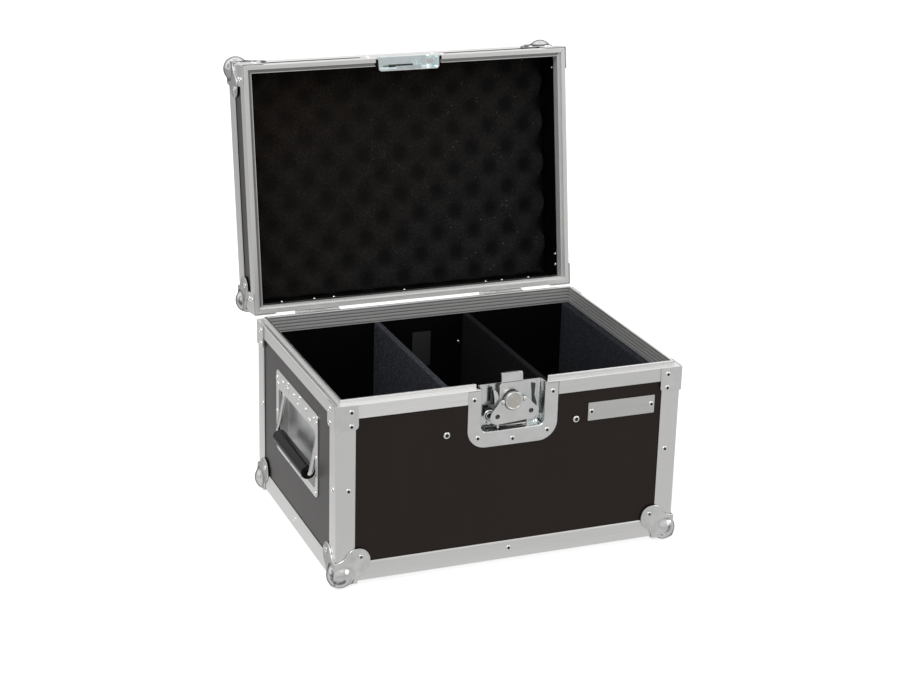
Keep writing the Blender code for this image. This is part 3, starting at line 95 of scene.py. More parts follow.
class CaseSizes(bpy.types.PropertyGroup):
    """Sizes of the details."""
    edge_radius: FloatProperty(name="Edge radius", description="Outer corner of the aluminium edging",
                               default=2.2 * MM, min=0.2 * MM, unit="LENGTH")
    groove_depth: FloatProperty(name="Groove depth", description="Grooves inside the closing profile",
                                default=0.8 * MM, min=0.0, unit="LENGTH")
    sheet_edge: FloatProperty(name="Sheet edge", description="Rounding of pressed sheet edges",
                              default=0.25 * MM, min=0.0, unit="LENGTH")
    rivet_radius: FloatProperty(name="Rivet radius", description="Radius of a blind rivet's head",
                                default=3.3 * MM, min=1.0 * MM, unit="LENGTH")
    rivet_height: FloatProperty(name="Rivet height", description="Height of a blind rivet's head",
                                default=1.1 * MM, min=0.2 * MM, unit="LENGTH")
    ball_radius: FloatProperty(name="Ball radius", description="Radius of the ball corners",
                               default=15.2 * MM, min=5.0 * MM, unit="LENGTH")
    ball_blend: FloatProperty(name="Ball blend", description="How softly a ball runs out into its petals",
                              default=2.2 * MM, min=0.1 * MM, unit="LENGTH")
    foam_wave: FloatProperty(name="Foam wave", description="Height of the lid foam's peaks over its hollows",
                             default=8.0 * MM, min=0.0, unit="LENGTH")
    foam_along: FloatProperty(name="Foam pitch across",
                              description="Distance of the lid foam's peaks from side to side",
                              default=50.0 * MM, min=5.0 * MM, unit="LENGTH")
    foam_across: FloatProperty(name="Foam pitch up",
                               description="Distance of the lid foam's peaks from front to back",
                               default=54.0 * MM, min=5.0 * MM, unit="LENGTH")
    grip_radius: FloatProperty(name="Grip radius", description="Radius of a handle's rubber grip",
                               default=8.8 * MM, min=3.8 * MM, unit="LENGTH")
    floor_width: FloatProperty(name="Floor width", description="Side of the floor under the case",
                               default=14.0, min=2.0, unit="LENGTH")


class CaseFinishes(bpy.types.PropertyGroup):
    """Colours and gloss of the finishes."""
    aluminium: FloatVectorProperty(name="Aluminium", description="Brushed, anodised edging", subtype="COLOR",
                                   size=4, default=(0.88, 0.875, 0.865, 1.0), min=0.0, max=1.0)
    zinc: FloatVectorProperty(name="Zinc", description="Bright plated steel", subtype="COLOR", size=4,
                              default=(0.86, 0.86, 0.85, 1.0), min=0.0, max=1.0)
    film: FloatVectorProperty(name="Board film", description="Film on the outside of the boards",
                              subtype="COLOR", size=4, default=(0.0150, 0.0087, 0.0060, 1.0), min=0.0,
                              max=1.0)
    inner_film: FloatVectorProperty(name="Inner film", description="Inside of the boards", subtype="COLOR",
                                    size=4, default=(0.0016, 0.0016, 0.0016, 1.0), min=0.0, max=1.0)
    foam: FloatVectorProperty(name="Foam", description="Open-cell foam", subtype="COLOR", size=4,
                              default=(0.0090, 0.0078, 0.0070, 1.0), min=0.0, max=1.0)
    felt: FloatVectorProperty(name="Divider felt", description="Facing of the dividers", subtype="COLOR",
                              size=4, default=(0.0215, 0.0228, 0.0280, 1.0), min=0.0, max=1.0)
    rubber: FloatVectorProperty(name="Rubber", description="Handle grips", subtype="COLOR", size=4,
                                default=(0.0050, 0.0050, 0.0049, 1.0), min=0.0, max=1.0)
    floor: FloatVectorProperty(name="Floor", description="Floor under the case", subtype="COLOR", size=4,
                               default=(0.86, 0.86, 0.86, 1.0), min=0.0, max=1.0)
    key_power: FloatProperty(name="Key power", description="Power of the large soft lamp", default=26.0,
                             min=0.0, unit="POWER")
    fill_power: FloatProperty(name="Fill power", description="Power of the soft lamp at the side",
                              default=8.0, min=0.0, unit="POWER")


# Shape helpers

def unit(vectors):
    """Vectors divided by their lengths."""
    vectors = np.asarray(vectors, dtype=float)
    return vectors / np.linalg.norm(vectors, axis=-1, keepdims=True)


def grid_quads(rows, columns, close_rows=False, close_columns=False):
    """Quads of a grid whose point (i, j) is number i * columns + j, closed on itself either way if asked."""
    i = np.arange(rows if close_rows else rows - 1)[:, None]
    j = np.arange(columns if close_columns else columns - 1)[None, :]
    next_i, next_j = (i + 1) % rows, (j + 1) % columns
    corners = (i * columns + j, i * columns + next_j, next_i * columns + next_j, next_i * columns + j)
    return np.stack(np.broadcast_arrays(*corners), axis=-1).reshape(-1, 4)


class Shape:
    """Points and faces gathered for one piece, each batch with its finish."""

    def __init__(self):
        self.points, self.faces, self.slots, self.finishes, self.marks, self.count = [], [], [], [], [], 0

    def add(self, points, faces, finish, marks=None):
        """Adds a batch whose faces number its own points, and a mark from 0 to 1 for each point if wanted."""
        points = np.asarray(points, dtype=float).reshape(-1, 3)
        marks = np.zeros(len(points)) if marks is None else np.asarray(marks, dtype=float)
        self.marks.append(marks.reshape(-1))
        if finish not in self.finishes:
            self.finishes.append(finish)
        self.points.append(points)
        self.faces += (np.asarray(faces) + self.count).tolist()
        self.slots += [self.finishes.index(finish)] * len(faces)
        self.count += len(points)


def opened(points):
    """Turns points of the shut lid about the hinge axis to where the open lid stands."""
    y, z = points[:, 1] - LID_AXIS[1], points[:, 2] - LID_AXIS[2]
    c, s = cos(-LID_OPEN), sin(-LID_OPEN)
    return np.stack((points[:, 0], LID_AXIS[1] + c * y - s * z, LID_AXIS[2] + s * y + c * z), axis=1)


def piece(name, shape, body, nodes=(), sharp=38.0, soften=0.0):
    """Makes one object of a shape: welds its seams, turns its faces outwards and rides it on its body."""
    points = np.concatenate(shape.points)
    if body == "lid":
        points = opened(points)
    mesh = bpy.data.meshes.new(name)
    mesh.from_pydata(points.tolist(), [], shape.faces)
    for finish in shape.finishes:
        mesh.materials.append(bpy.data.materials[finish])
    mesh.polygons.foreach_set("material_index", shape.slots)
    marks = np.concatenate(shape.marks)
    # The marks become a point attribute; the lid foam's marks say how deep a point lies in a hollow, for its
    # painted shade
    if marks.any():
        mesh.attributes.new("hollow", "FLOAT", "POINT").data.foreach_set("value", marks)
    work = bmesh.new()
    work.from_mesh(mesh)
    bmesh.ops.remove_doubles(work, verts=work.verts, dist=0.004 * MM)
    bmesh.ops.recalc_face_normals(work, faces=work.faces)
    work.to_mesh(mesh)
    work.free()
    mesh.shade_smooth()
    mesh.set_sharp_from_angle(angle=radians(sharp))
    made = bpy.data.objects.new(name, mesh)
    bpy.context.scene.collection.objects.link(made)
    if soften > 0:
        bevel = made.modifiers.new("soft_edges", "BEVEL")
        bevel.width = soften
        bevel.segments = 2
        bevel.limit_method = "ANGLE"
        bevel.angle_limit = radians(50.0)
    weighted = made.modifiers.new("even_shading", "WEIGHTED_NORMAL")
    weighted.weight = 80
    weighted.keep_sharp = True
    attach(made, body)
    if nodes:
        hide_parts(*nodes)
    return made


def round_corners(points, radii, steps=3):
    """A closed outline with an arc in each corner: it touches both sides at radius / tan(half the corner's
    angle), and its points turn evenly about its centre."""
    points = np.asarray(points, dtype=float)
    radii = np.broadcast_to(np.asarray(radii, dtype=float), (len(points),))[:, None]
    to_last = unit(np.roll(points, 1, axis=0) - points)
    to_next = unit(np.roll(points, -1, axis=0) - points)
    half = np.arccos(np.clip((to_last * to_next).sum(1, keepdims=True), -1, 1)) / 2
    centre = points + unit(to_last + to_next) * radii / np.sin(half)
    first = points + to_last * radii / np.tan(half) - centre
    last = points + to_next * radii / np.tan(half) - centre
    turn = (pi - 2 * half)[:, None, :]
    share = np.linspace(0, 1, steps + 1)[None, :, None]
    arcs = (np.sin((1 - share) * turn) * first[:, None] + np.sin(share * turn) * last[:, None]) / np.sin(turn)
    return (centre[:, None] + arcs).reshape(-1, 2)


def outlines(left, right, foot, head, low_radius, high_radius, open_head=False, steps=8):
    """Rounded rectangles, one for each value given. A corner is centre + radius * (cos, sin) over a quarter
    turn. An open one starts at its left head, goes round its foot and ends at its right head."""
    given = (left, right, foot, head, low_radius, high_radius)
    rows = [np.atleast_1d(np.asarray(x, dtype=float)) for x in given]
    left, right, foot, head, low, high = (row[:, None] for row in np.broadcast_arrays(*rows))
    quarter = np.linspace(0, pi / 2, steps + 1)[None, :]
    parts = [(left + low + low * np.cos(pi + quarter), foot + low + low * np.sin(pi + quarter)),
             (right - low + low * np.cos(1.5 * pi + quarter), foot + low + low * np.sin(1.5 * pi + quarter))]
    if open_head:
        parts = [(left, head)] + parts + [(right, head)]
    else:
        parts += [(right - high + high * np.cos(quarter), head - high + high * np.sin(quarter)),
                  (left + high + high * np.cos(pi / 2 + quarter),
                   head - high + high * np.sin(pi / 2 + quarter))]
    across = np.concatenate([x for x, _ in parts], axis=1)
    upwards = np.concatenate([y for _, y in parts], axis=1)
    return across, upwards


def bar(shape, profile, origin, inwards, upwards, span, insets, finish, tones=()):
    """A profile carried along a line: origin + u * inwards + v * upwards + w * along, where w runs over the
    span and each end is cut back by a function of u and v. Where a tone's function of u and v holds, its
    finish goes."""
    inwards, upwards = np.array(inwards, dtype=float), np.array(upwards, dtype=float)
    along = np.cross(inwards, upwards)
    u, v = profile.T
    ends = np.stack((span[0] + insets[0](u, v), span[1] - insets[1](u, v)))
    points = np.array(origin) + (u[:, None] * inwards + v[:, None] * upwards)[None] + ends[..., None] * along
    count = len(profile)
    quads = grid_quads(2, count, close_columns=True)
    middle = ((profile + np.roll(profile, -1, axis=0)) / 2 / MM).T
    for tone, holds in tones:
        chosen = holds(*middle)
        if chosen.any():
            shape.add(points, quads[chosen], tone)
        quads, middle = quads[~chosen], middle[:, ~chosen]
    shape.add(points, quads, finish)
    shape.add(points, np.arange(2 * count).reshape(2, count), finish)


def across_axes(axis):
    """Two directions square to an axis and to each other."""
    axis = unit(axis)
    first = unit(np.cross(axis, np.where(np.abs(axis[..., 2:]) > 0.9, (1.0, 0.0, 0.0), (0.0, 0.0, 1.0))))
    return first, np.cross(axis, first)


def turned(shape, places, axes, profile, finish, segments, dark_from=None, dark=None):
    """Profiles (along, radius) turned about axes at places: place + along * axis + radius * (cos, sin)
    across it. Rows from dark_from on take the dark finish."""
    places, axes = np.atleast_2d(places).astype(float), unit(np.atleast_2d(axes))
    first, second = across_axes(axes)
    angle = np.arange(segments) * tau / segments
    ring = np.cos(angle)[:, None] * first[:, None] + np.sin(angle)[:, None] * second[:, None]
    along, radius = np.asarray(profile, dtype=float).T
    points = (places[:, None, None] + along[None, :, None, None] * axes[:, None, None]
              + radius[None, :, None, None] * ring[:, None])
    rows = len(along)
    quads = grid_quads(rows, segments, close_columns=True)
    starts = (np.arange(len(places)) * rows * segments)[:, None, None]
    every = (quads[None] + starts).reshape(len(places), -1, 4)
    split = every.shape[1] if dark_from is None else dark_from * segments
    shape.add(points, every[:, :split].reshape(-1, 4), finish)
    if dark_from is not None:
        shape.add(points, every[:, split:].reshape(-1, 4), dark)


def tube(shape, path, radius, reference, finish, segments):
    """A round bar along a path: path + radius * (cos, sin) in the plane square to the path, with flat
    ends."""
    path = np.asarray(path, dtype=float)
    tangent = unit(np.gradient(path, axis=0))
    side = unit(np.cross(tangent, reference))
    over = np.cross(side, tangent)
    angle = (np.arange(segments) * tau / segments)[None, :, None]
    points = path[:, None] + radius * (np.cos(angle) * side[:, None] + np.sin(angle) * over[:, None])
    shape.add(points, grid_quads(len(path), segments, close_columns=True), finish)
    ends = np.stack((np.arange(segments), np.arange(segments) + (len(path) - 1) * segments))
    shape.add(points, ends, finish)


def rivets(shape, places, normals, radius, height):
    """Domed heads whose hole in the middle is painted near black as painted shade, all turned at once about
    their outward directions.
    """
    profile = np.array(((-0.35, 0.0), (-0.35, 1.0), (0.30, 1.0), (0.66, 0.92), (0.90, 0.76), (1.0, 0.62),
                        (0.94, 0.54), (0.60, 0.50), (0.14, 0.48), (0.12, 0.0))) * (height, radius)
    turned(shape, places, normals, profile, "rivet_steel", 16, 7, "rivet_hole")


def domes(shape, places, halves, height, to_space, finish):
    """Low oval bumps pressed in a sheet: place + r * (a cos, b sin), h * (1 - r^2)^0.5 high over r from 1 to
    0."""
    rows, segments = 7, 20
    r = np.sin(np.linspace(pi / 2, 0, rows))[None, :, None]
    angle = (np.arange(segments) * tau / segments)[None, None, :]
    places, halves = np.asarray(places)[:, :, None, None], np.asarray(halves)[:, :, None, None]
    across = places[:, 0] + halves[:, 0] * r * np.cos(angle)
    up = places[:, 1] + halves[:, 1] * r * np.sin(angle)
    points = to_space(across, up, -height * np.sqrt(1 - r ** 2) + 0.1 * MM * (r == 1))
    starts = (np.arange(len(places)) * rows * segments)[:, None]
    quads = grid_quads(rows, segments, close_columns=True)[None] + starts[:, None]
    shape.add(points, quads.reshape(-1, 4), finish)
    shape.add(points, np.arange(segments)[None] + starts, finish)


def arc_points(centre, radius, start, end, steps):
    """Points centre + radius * (cos, sin) between two angles in degrees."""
    angle = np.radians(np.linspace(start, end, steps + 1))
    return np.stack((centre[0] + radius * np.cos(angle), centre[1] + radius * np.sin(angle)), axis=1)


def ray_reach(centre, points, polygon):
    """How far the rays from a centre towards points go before they cross a polygon, by solving
    centre + t * ray = a + s * (b - a) for every side and keeping the least t."""
    ray = unit(points - centre)[:, None]
    a, side = polygon[None], (np.roll(polygon, -1, axis=0) - polygon)[None]
    gap = a - centre
    cross = ray[..., 0] * side[..., 1] - ray[..., 1] * side[..., 0]
    cross = np.where(np.abs(cross) < 1e-12, 1e-12, cross)
    t = (gap[..., 0] * side[..., 1] - gap[..., 1] * side[..., 0]) / cross
    s = (gap[..., 0] * ray[..., 1] - gap[..., 1] * ray[..., 0]) / cross
    t = np.where((s >= -1e-9) & (s <= 1 + 1e-9) & (t > 0), t, np.inf).min(axis=1)
    return centre + ray[:, 0] * t[:, None]


def densified(points, spacing):
    """A closed outline with points added so that no side is longer than a spacing."""
    following = np.roll(points, -1, axis=0)
    counts = np.maximum(1, np.ceil(np.linalg.norm(following - points, axis=1) / spacing)).astype(int)
    which = np.repeat(np.arange(len(points)), counts)
    step = np.arange(len(which)) - np.repeat(np.cumsum(counts) - counts, counts)
    share = (step / counts[which])[:, None]
    return points[which] * (1 - share) + following[which] * share


def spaced(x, y, z):
    """Points from their coordinates, each an array or one number for all."""
    return np.stack(np.broadcast_arrays(x, y, z), axis=-1)


def facing_front(across, upwards, depth):
    """Puts a drawing on the front of the case: X across, Z up, and depth behind the front plane."""
    return spaced(across, -HALF_D + depth, upwards)


def facing_left(across, upwards, depth):
    """Puts a drawing on the left side: Y across, Z up, and depth inside the left plane."""
    return spaced(-HALF_W + depth, across, upwards)


def at_depth(level, to_space=facing_front):
    """The same way of placing a drawing, but deeper by a level."""
    return lambda across, upwards, depth: to_space(across, upwards, level + depth)


def plate(shape, outer, inner, to_space, thickness, edge, finish, rings, joined=None):
    """A flat plate between an outer and an inner outline with as many points: inner + share * (outer -
    inner), its front at depth 0 and its back at its thickness, and its edges rounded by an edge width, but
    not where it is joined to another plate."""
    width = np.linalg.norm(outer - inner, axis=1).mean()
    soft = min(0.3, edge / width)
    share = np.concatenate(((1.0, 1.0, 1 - 0.3 * soft), np.linspace(1 - soft, soft, rings),
                            (0.3 * soft, 0.0, 0.0)))
    brim = np.array((thickness - 0.4 * edge, edge, 0.3 * edge))
    share = np.concatenate((share, (soft, 1 - soft)))
    depth = np.concatenate((brim, np.zeros(rings), brim[::-1], (thickness, thickness)))
    flat = inner[None] + share[:, None, None] * (outer - inner)[None]
    depth = np.repeat(depth[:, None], len(outer), axis=1)
    if joined is not None:
        depth[1:3, joined] = 0.0
    points = to_space(flat[..., 0], flat[..., 1], depth)
    shape.add(points, grid_quads(len(share), len(outer), close_rows=True, close_columns=True), finish)


def sheet(shape, outer, centre, hole, to_space, thickness, edge, finish):
    """A flat plate whose hole about a centre is so small that it closes: centre + hole * (outer - centre)."""
    plate(shape, outer, centre + (outer - centre) * hole, to_space, thickness, edge, finish, 3)


def tag(shape, corners, radius, level, thickness, finish, to_space=facing_front):
    """A flat plate with rounded corners, from its left, right, foot and head, at a depth behind the front
    plane."""
    across, up = outlines(*corners, radius, radius, steps=4)
    outer = densified(np.stack((across[0], up[0]), axis=1), 5.0 * MM)
    sheet(shape, outer, outer.mean(axis=0), 0.002, at_depth(level, to_space), thickness,
          min(0.25 * thickness, 0.2 * MM), finish)


def heads_on_front(shape, spots, depth, radius, height):
    """Rivets on the front of the case, at places across and up, at a depth."""
    spots = np.asarray(spots)
    rivets(shape, facing_front(spots[:, 0], spots[:, 1], depth), [FRONT] * len(spots), radius, height)


def slab(shape, front, back, finish, marks=None, flat_back=False):
    """A block between two grids of points, (rows, columns, 3), walled in along their rims. A flat back is
    one face."""
    rows, columns = front.shape[:2]
    size = rows * columns
    number = np.arange(size).reshape(rows, columns)
    rim = np.concatenate((number[0, :-1], number[:-1, -1], number[-1, :0:-1], number[:0:-1, 0]))
    following = np.roll(rim, -1)
    walls = np.stack((rim, following, following + size, rim + size), axis=1)
    quads = grid_quads(rows, columns)
    points = np.concatenate((front.reshape(-1, 3), back.reshape(-1, 3)))
    if flat_back:
        shape.add(points, np.concatenate((quads, walls)), finish, marks)
        shape.add(points, (rim + size)[None], finish, marks)
    else:
        shape.add(points, np.concatenate((quads, quads + size, walls)), finish, marks)


def pressed(points, quads, flange_rows, finishes):
    """A dish pressed from sheet, as a grid of points: its rows up to the first of two rows, and from the
    second on, are the flange and take the first finish, and the rest takes the second."""
    row = quads[:, 0] // points.shape[1]
    flange = (row <= flange_rows[0]) | (row >= flange_rows[1])
    shape = Shape()
    shape.add(points, quads[flange], finishes[0])
    shape.add(points, quads[~flange], finishes[1])
    return shape


def half_turned(points):
    """Points turned half round about the upright axis."""
    return np.asarray(points) * (-1.0, -1.0, 1.0)


def corner_matrix(turn, x_sign, y_sign, height, upside_down):
    """Stands a corner piece, drawn with X, Y and Z into the case, in one of the corners."""
    place = Matrix.Translation((x_sign * HALF_W, y_sign * HALF_D, height))
    matrix = place @ Matrix.Rotation(turn * pi / 2, 4, "Z")
    if upside_down:
        matrix = matrix @ Matrix.Rotation(pi / 2, 4, "Z") @ Matrix.Rotation(pi, 4, "X")
    return np.array(matrix)


def moved(matrix, points):
    """Points carried by a 4 by 4 matrix."""
    return np.asarray(points) @ matrix[:3, :3].T + matrix[:3, 3]


def smooth_step(value, low, high):
    """0 below low, 1 above high and 3t^2 - 2t^3 between."""
    t = np.clip((value - low) / (high - low), 0, 1)
    return t * t * (3 - 2 * t)


# Node helpers

class Net:
    """Adds nodes to a tree, setting each input from a value or a link."""

    def __init__(self, tree):
        self.tree = tree

    def add(self, kind, inputs=None, **settings):
        """Adds one node and returns its outputs."""
        made = self.tree.nodes.new(kind)
        for key, value in settings.items():
            setattr(made, key, value)
        for key, value in (inputs or {}).items():
            if isinstance(value, bpy.types.NodeSocket):
                self.tree.links.new(value, made.inputs[key])
            else:
                made.inputs[key].default_value = value
        return made.outputs

    def link(self, output, socket):
        """Leads an output to an input."""
        self.tree.links.new(output, socket)

    def math(self, operation, a, b=0.0):
        """One sum of two numbers."""
        return self.add("ShaderNodeMath", {0: a, 1: b}, operation=operation)[0]

    def times(self, a, b):
        """The product of two numbers."""
        return self.math("MULTIPLY", a, b)

    def facing(self, low, high, to_low=0.0, to_high=1.0):
        """How far a surface turns away from the view, moved to another range."""
        return self.spread(self.add("ShaderNodeLayerWeight")["Facing"], low, high, to_low, to_high)

    def parts(self, vector):
        """The three parts of a vector."""
        return self.add("ShaderNodeSeparateXYZ", {0: vector})

    def mix(self, share, a, b):
        """A colour between two."""
        return self.add("ShaderNodeMix", {0: share, 6: a, 7: b}, data_type="RGBA")[2]

    def spread(self, value, low, high, to_low=0.0, to_high=1.0):
        """A value's range moved to another, clamped."""
        return self.add("ShaderNodeMapRange", {0: value, 1: low, 2: high, 3: to_low, 4: to_high})[0]

    def noise(self, vector, scale, detail=3.0, roughness=0.5):
        """Smooth noise from 0 to 1."""
        inputs = {"Vector": vector, "Scale": scale, "Detail": detail, "Roughness": roughness}
        return self.add("ShaderNodeTexNoise", inputs)[0]

    def stretched(self, vector, scale, rotation=(0, 0, 0)):
        """A vector turned and scaled."""
        return self.add("ShaderNodeMapping", {"Vector": vector, "Scale": scale, "Rotation": rotation})[0]


def new_group(name, inputs, outputs):
    """An empty group whose outputs are numbers, and its inputs vectors apart from a scale. Returns it, its
    net, its input sockets and its output node's inputs."""
    group = bpy.data.node_groups.new(name, "ShaderNodeTree")
    for socket in inputs:
        kind = "NodeSocketFloat" if socket == "Scale" else "NodeSocketVector"
        group.interface.new_socket(name=socket, in_out="INPUT", socket_type=kind)
    for socket in outputs:
        group.interface.new_socket(name=socket, in_out="OUTPUT", socket_type="NodeSocketFloat")
    start, end = group.nodes.new("NodeGroupInput"), group.nodes.new("NodeGroupOutput")
    return group, Net(group), start.outputs, end.inputs


def grain_group():
    """Lengthwise drawing lines: noise whose first axis is stretched, in a fine and a coarse layer, and soft
    cloudy marks over them."""
    group, net, given, put = new_group("drawn_grain", ("Vector", "Place"), ("Lines", "Clouds", "Height"))
    fine, coarse = (net.noise(given["Vector"], scale, 2.0) for scale in (2400.0, 700.0))
    lines = net.math("ADD", net.times(fine, 0.6), net.times(coarse, 0.4))
    net.link(net.spread(lines, 0.36, 0.64), put["Lines"])
    net.link(net.spread(net.noise(given["Place"], 14.0, 4.0, 0.6), 0.32, 0.68), put["Clouds"])
    net.link(lines, put["Height"])
    return group


def plating_group():
    """Plating on pressed steel: cloudy patches, a mask for a thin bluish film, and faint dents."""
    group, net, given, put = new_group("zinc_plating", ("Place",), ("Clouds", "Tint", "Height"))
    net.link(net.spread(net.noise(given["Place"], 60.0, 5.0, 0.65), 0.34, 0.66), put["Clouds"])
    net.link(net.spread(net.noise(given["Place"], 26.0, 2.0), 0.40, 0.62), put["Tint"])
    net.link(net.noise(given["Place"], 140.0, 1.0), put["Height"])
    return group


def cell_group():
    """Open foam cells: small cells by their distance to the nearest edge, over a soft noise of tufts."""
    group, net, given, put = new_group("foam_cells", ("Place", "Scale"), ("Cells", "Tufts", "Height"))
    cells = net.add("ShaderNodeTexVoronoi", {"Vector": given["Place"], "Scale": given["Scale"]})[0]
    tufts = net.noise(given["Place"], 110.0, 4.0, 0.6)
    net.link(net.spread(cells, 0.1, 0.8), put["Cells"])
    net.link(net.spread(tufts, 0.3, 0.7), put["Tufts"])
    net.link(net.math("ADD", cells, net.times(tufts, 1.5)), put["Height"])
    return group


def film_group():
    """Film-faced board: a fine embossed leather grain, faint streaks and a few scuffs."""
    group, net, given, put = new_group("board_film", ("Place",), ("Grain", "Scuffs", "Height"))
    streaks = net.noise(net.stretched(given["Place"], (1.0, 1.0, 0.2)), 30.0, 5.0, 0.6)
    scuffs = net.noise(net.stretched(given["Place"], (6.0, 6.0, 1.0), (0.4, 0.7, 0.2)), 22.0, 2.0)
    net.link(net.spread(streaks, 0.3, 0.7), put["Grain"])
    net.link(net.spread(scuffs, 0.70, 0.78), put["Scuffs"])
    net.link(net.add("ShaderNodeTexVoronoi", {"Vector": given["Place"], "Scale": 1400.0})[0], put["Height"])
    return group


def new_material(name, group=None, **inputs):
    """An empty material with its shader. Returns its net, its shader, a place on the case and, for a node
    group that it uses, the group's outputs."""
    made = bpy.data.materials.new(name)
    made.use_nodes = True
    net = Net(made.node_tree)
    place = net.add("ShaderNodeTexCoord")["Object"]
    given = net.add("ShaderNodeGroup", {"Place": place, **inputs}, node_tree=group) if group else None
    return net, made.node_tree.nodes["Principled BSDF"], place, given


def scaled(colour, share):
    """A colour made lighter or darker."""
    return tuple(min(1.0, c * share) for c in colour[:3]) + (1.0,)


def finish_shader(net, shader, colour, roughness, height, bump, distance, metallic=0.0):
    """Links a finish to its shader, with a bump for its height."""
    normal = net.add("ShaderNodeBump", {"Strength": bump, "Distance": distance, "Height": height})[0]
    for socket, value in (("Base Color", colour), ("Roughness", roughness), ("Normal", normal)):
        if isinstance(value, bpy.types.NodeSocket):
            net.link(value, shader.inputs[socket])
        else:
            shader.inputs[socket].default_value = value
    shader.inputs["Metallic"].default_value = metallic


def aluminium_finish(group, name, axis, colour, tilt, metallic):
    """Brushed aluminium whose lines run along one axis, fainter on the uprights, turned with the lid if
    tilted."""
    strength = 0.25 if axis == 2 else 1.0
    net, shader, place, given = new_material(name, group)
    stretch = [1.0, 1.0, 1.0]
    stretch[axis] = 0.015
    turned_place = net.stretched(place, (1, 1, 1), (tilt, 0, 0))
    net.link(net.stretched(turned_place, stretch), given[0].node.inputs["Vector"])
    base = net.mix(given["Lines"], scaled(colour, 1 - 0.06 * strength), scaled(colour, 1 + 0.03 * strength))
    base = net.mix(net.spread(given["Clouds"], 0, 1, 0.0, 0.25), base, scaled(colour, 0.94))
    rough = net.math("ADD", net.spread(given["Lines"], 0, 1, 0.33, 0.33 + 0.05 * strength),
                     net.spread(given["Clouds"], 0, 1, 0.0, 0.03))
    finish_shader(net, shader, base, rough, given["Height"], 0.08 * strength, 0.1 * MM, metallic)


def zinc_finish(group, name, colour, rough, tinting, edge=0.0, patches_and_reflections=0.07, metallic=1.0, ring=0.0):
    """Bright plated steel with cloudy patches and a thin bluish film, with painted shade as a darker rim
    where it turns away. A ring of painted reflection darkens it where it stands halfway across the view,
    standing in for the dark of a room between its lamps that a ball would mirror. Strong patches are partly
    painted reflection."""
    net, shader, _, given = new_material(name, group)
    dark = scaled(colour, 0.10)
    # Cloudy patches of the plating; where they are strong they are partly painted reflection
    base = net.mix(given["Clouds"], scaled(colour, 1 - patches_and_reflections), scaled(colour, 1.03))
    base = net.mix(net.spread(given["Tint"], 0, 1, 0.0, tinting), base, (0.42, 0.60, 0.62, 1.0))
    # Painted shade: darker towards the rim where the surface turns away
    if edge > 0:
        base = net.mix(net.facing(0.45, 0.95, 0.0, edge), base, dark)
        shader.inputs["Specular Tint"].default_value = (0.2, 0.2, 0.2, 1.0)
    # Painted reflection: a dark ring halfway across the view, broken up by the patches
    if ring > 0:
        band = net.times(net.facing(0.10, 0.20), net.facing(0.28, 0.42, ring, 0.0))
        base = net.mix(net.times(band, net.spread(given["Clouds"], 0.35, 0.65)), base, dark)
    rough = net.spread(given["Clouds"], 0, 1, *rough)
    finish_shader(net, shader, base, rough, given["Height"], 0.06, 0.4 * MM, metallic)


def lint(net, place, specks):
    """A mask of specks of lint: the near middles of some of the cells of a Voronoi pattern."""
    dots = net.add("ShaderNodeTexVoronoi", {"Vector": place, "Scale": 190.0})
    near = net.spread(dots["Distance"], 0.08, 0.13, 1.0, 0.0)
    chosen = net.spread(net.add("ShaderNodeSeparateColor", {0: dots["Color"]})[0], 0.55, 0.75)
    return net.times(net.times(near, chosen), specks)


def soft_finish(group, name, colour, scale, bump, light, specks=0.0, rough=0.95, specular=0.15, hollow=False):
    """Foam, felt or rubber: dark cells under lighter cell walls, with pale specks of lint. Hollow foam gets
    painted shade in its hollows, deeper towards the right, and the whole foam goes from warmer on the left to
    colder and lighter on the right."""
    net, shader, place, given = new_material(name, group, Scale=scale)
    base = net.mix(given["Cells"], scaled(colour, 0.55), scaled(colour, light))
    base = net.mix(net.spread(given["Tufts"], 0, 1, 0.0, 0.4), base, scaled(colour, 0.6))
    if specks > 0:
        dots = lint(net, place, specks)
        if hollow:
            dots = net.times(dots, net.spread(net.parts(place)[0], -0.10, 0.10, 0.2))
        base = net.mix(dots, base, (0.25, 0.26, 0.27, 1.0))
    if hollow:
        # Painted shade in the hollows, read from the mesh's hollow marks and deeper towards the right, then a
        # colour that runs from warm to colder and lighter towards the right
        across, _, height = net.parts(place)
        depth = net.add("ShaderNodeAttribute", attribute_name="hollow")["Fac"]
        share = net.spread(net.math("SUBTRACT", across, net.times(height, 1.1)), -0.68, -0.20)
        base = net.mix(net.times(depth, net.spread(share, 0, 1, 0.40, 1.0)), base, scaled(colour, 0.30))
        hue = net.mix(share, (0.90, 0.75, 0.60, 1.0), (1.08, 1.20, 1.34, 1.0))
        base = net.add("ShaderNodeMix", {0: 1.0, 6: base, 7: hue}, data_type="RGBA", blend_type="MULTIPLY")[2]
    finish_shader(net, shader, base, rough, given["Height"], bump, 0.8 * MM)
    shader.inputs["Specular IOR Level"].default_value = specular


def inside_mask(net, place, shut):
    """1 inside the case and 0 outside, parted within the boards' thickness. For the lid's boards the place
    is first turned back to the shut lid."""
    if shut:
        c, s = cos(LID_OPEN), sin(LID_OPEN)
        back = (0.0, LID_AXIS[1] * (1 - c) + LID_AXIS[2] * s, LID_AXIS[2] * (1 - c) - LID_AXIS[1] * s)
        turn = {"Vector": place, "Location": back, "Rotation": (LID_OPEN, 0, 0)}
        place = net.add("ShaderNodeMapping", turn)[0]
    half_w, half_d, top, floor = 208.6 * MM, 148.1 * MM, 282.0 * MM, 4.0 * MM
    x, y, z = net.parts(place)
    across = net.math("LESS_THAN", net.math("ABSOLUTE", x), half_w)
    along = net.math("LESS_THAN", net.math("ABSOLUTE", y), half_d)
    level = net.math("LESS_THAN", z, top) if shut else net.math("GREATER_THAN", z, floor)
    return net.times(net.times(across, along), level)


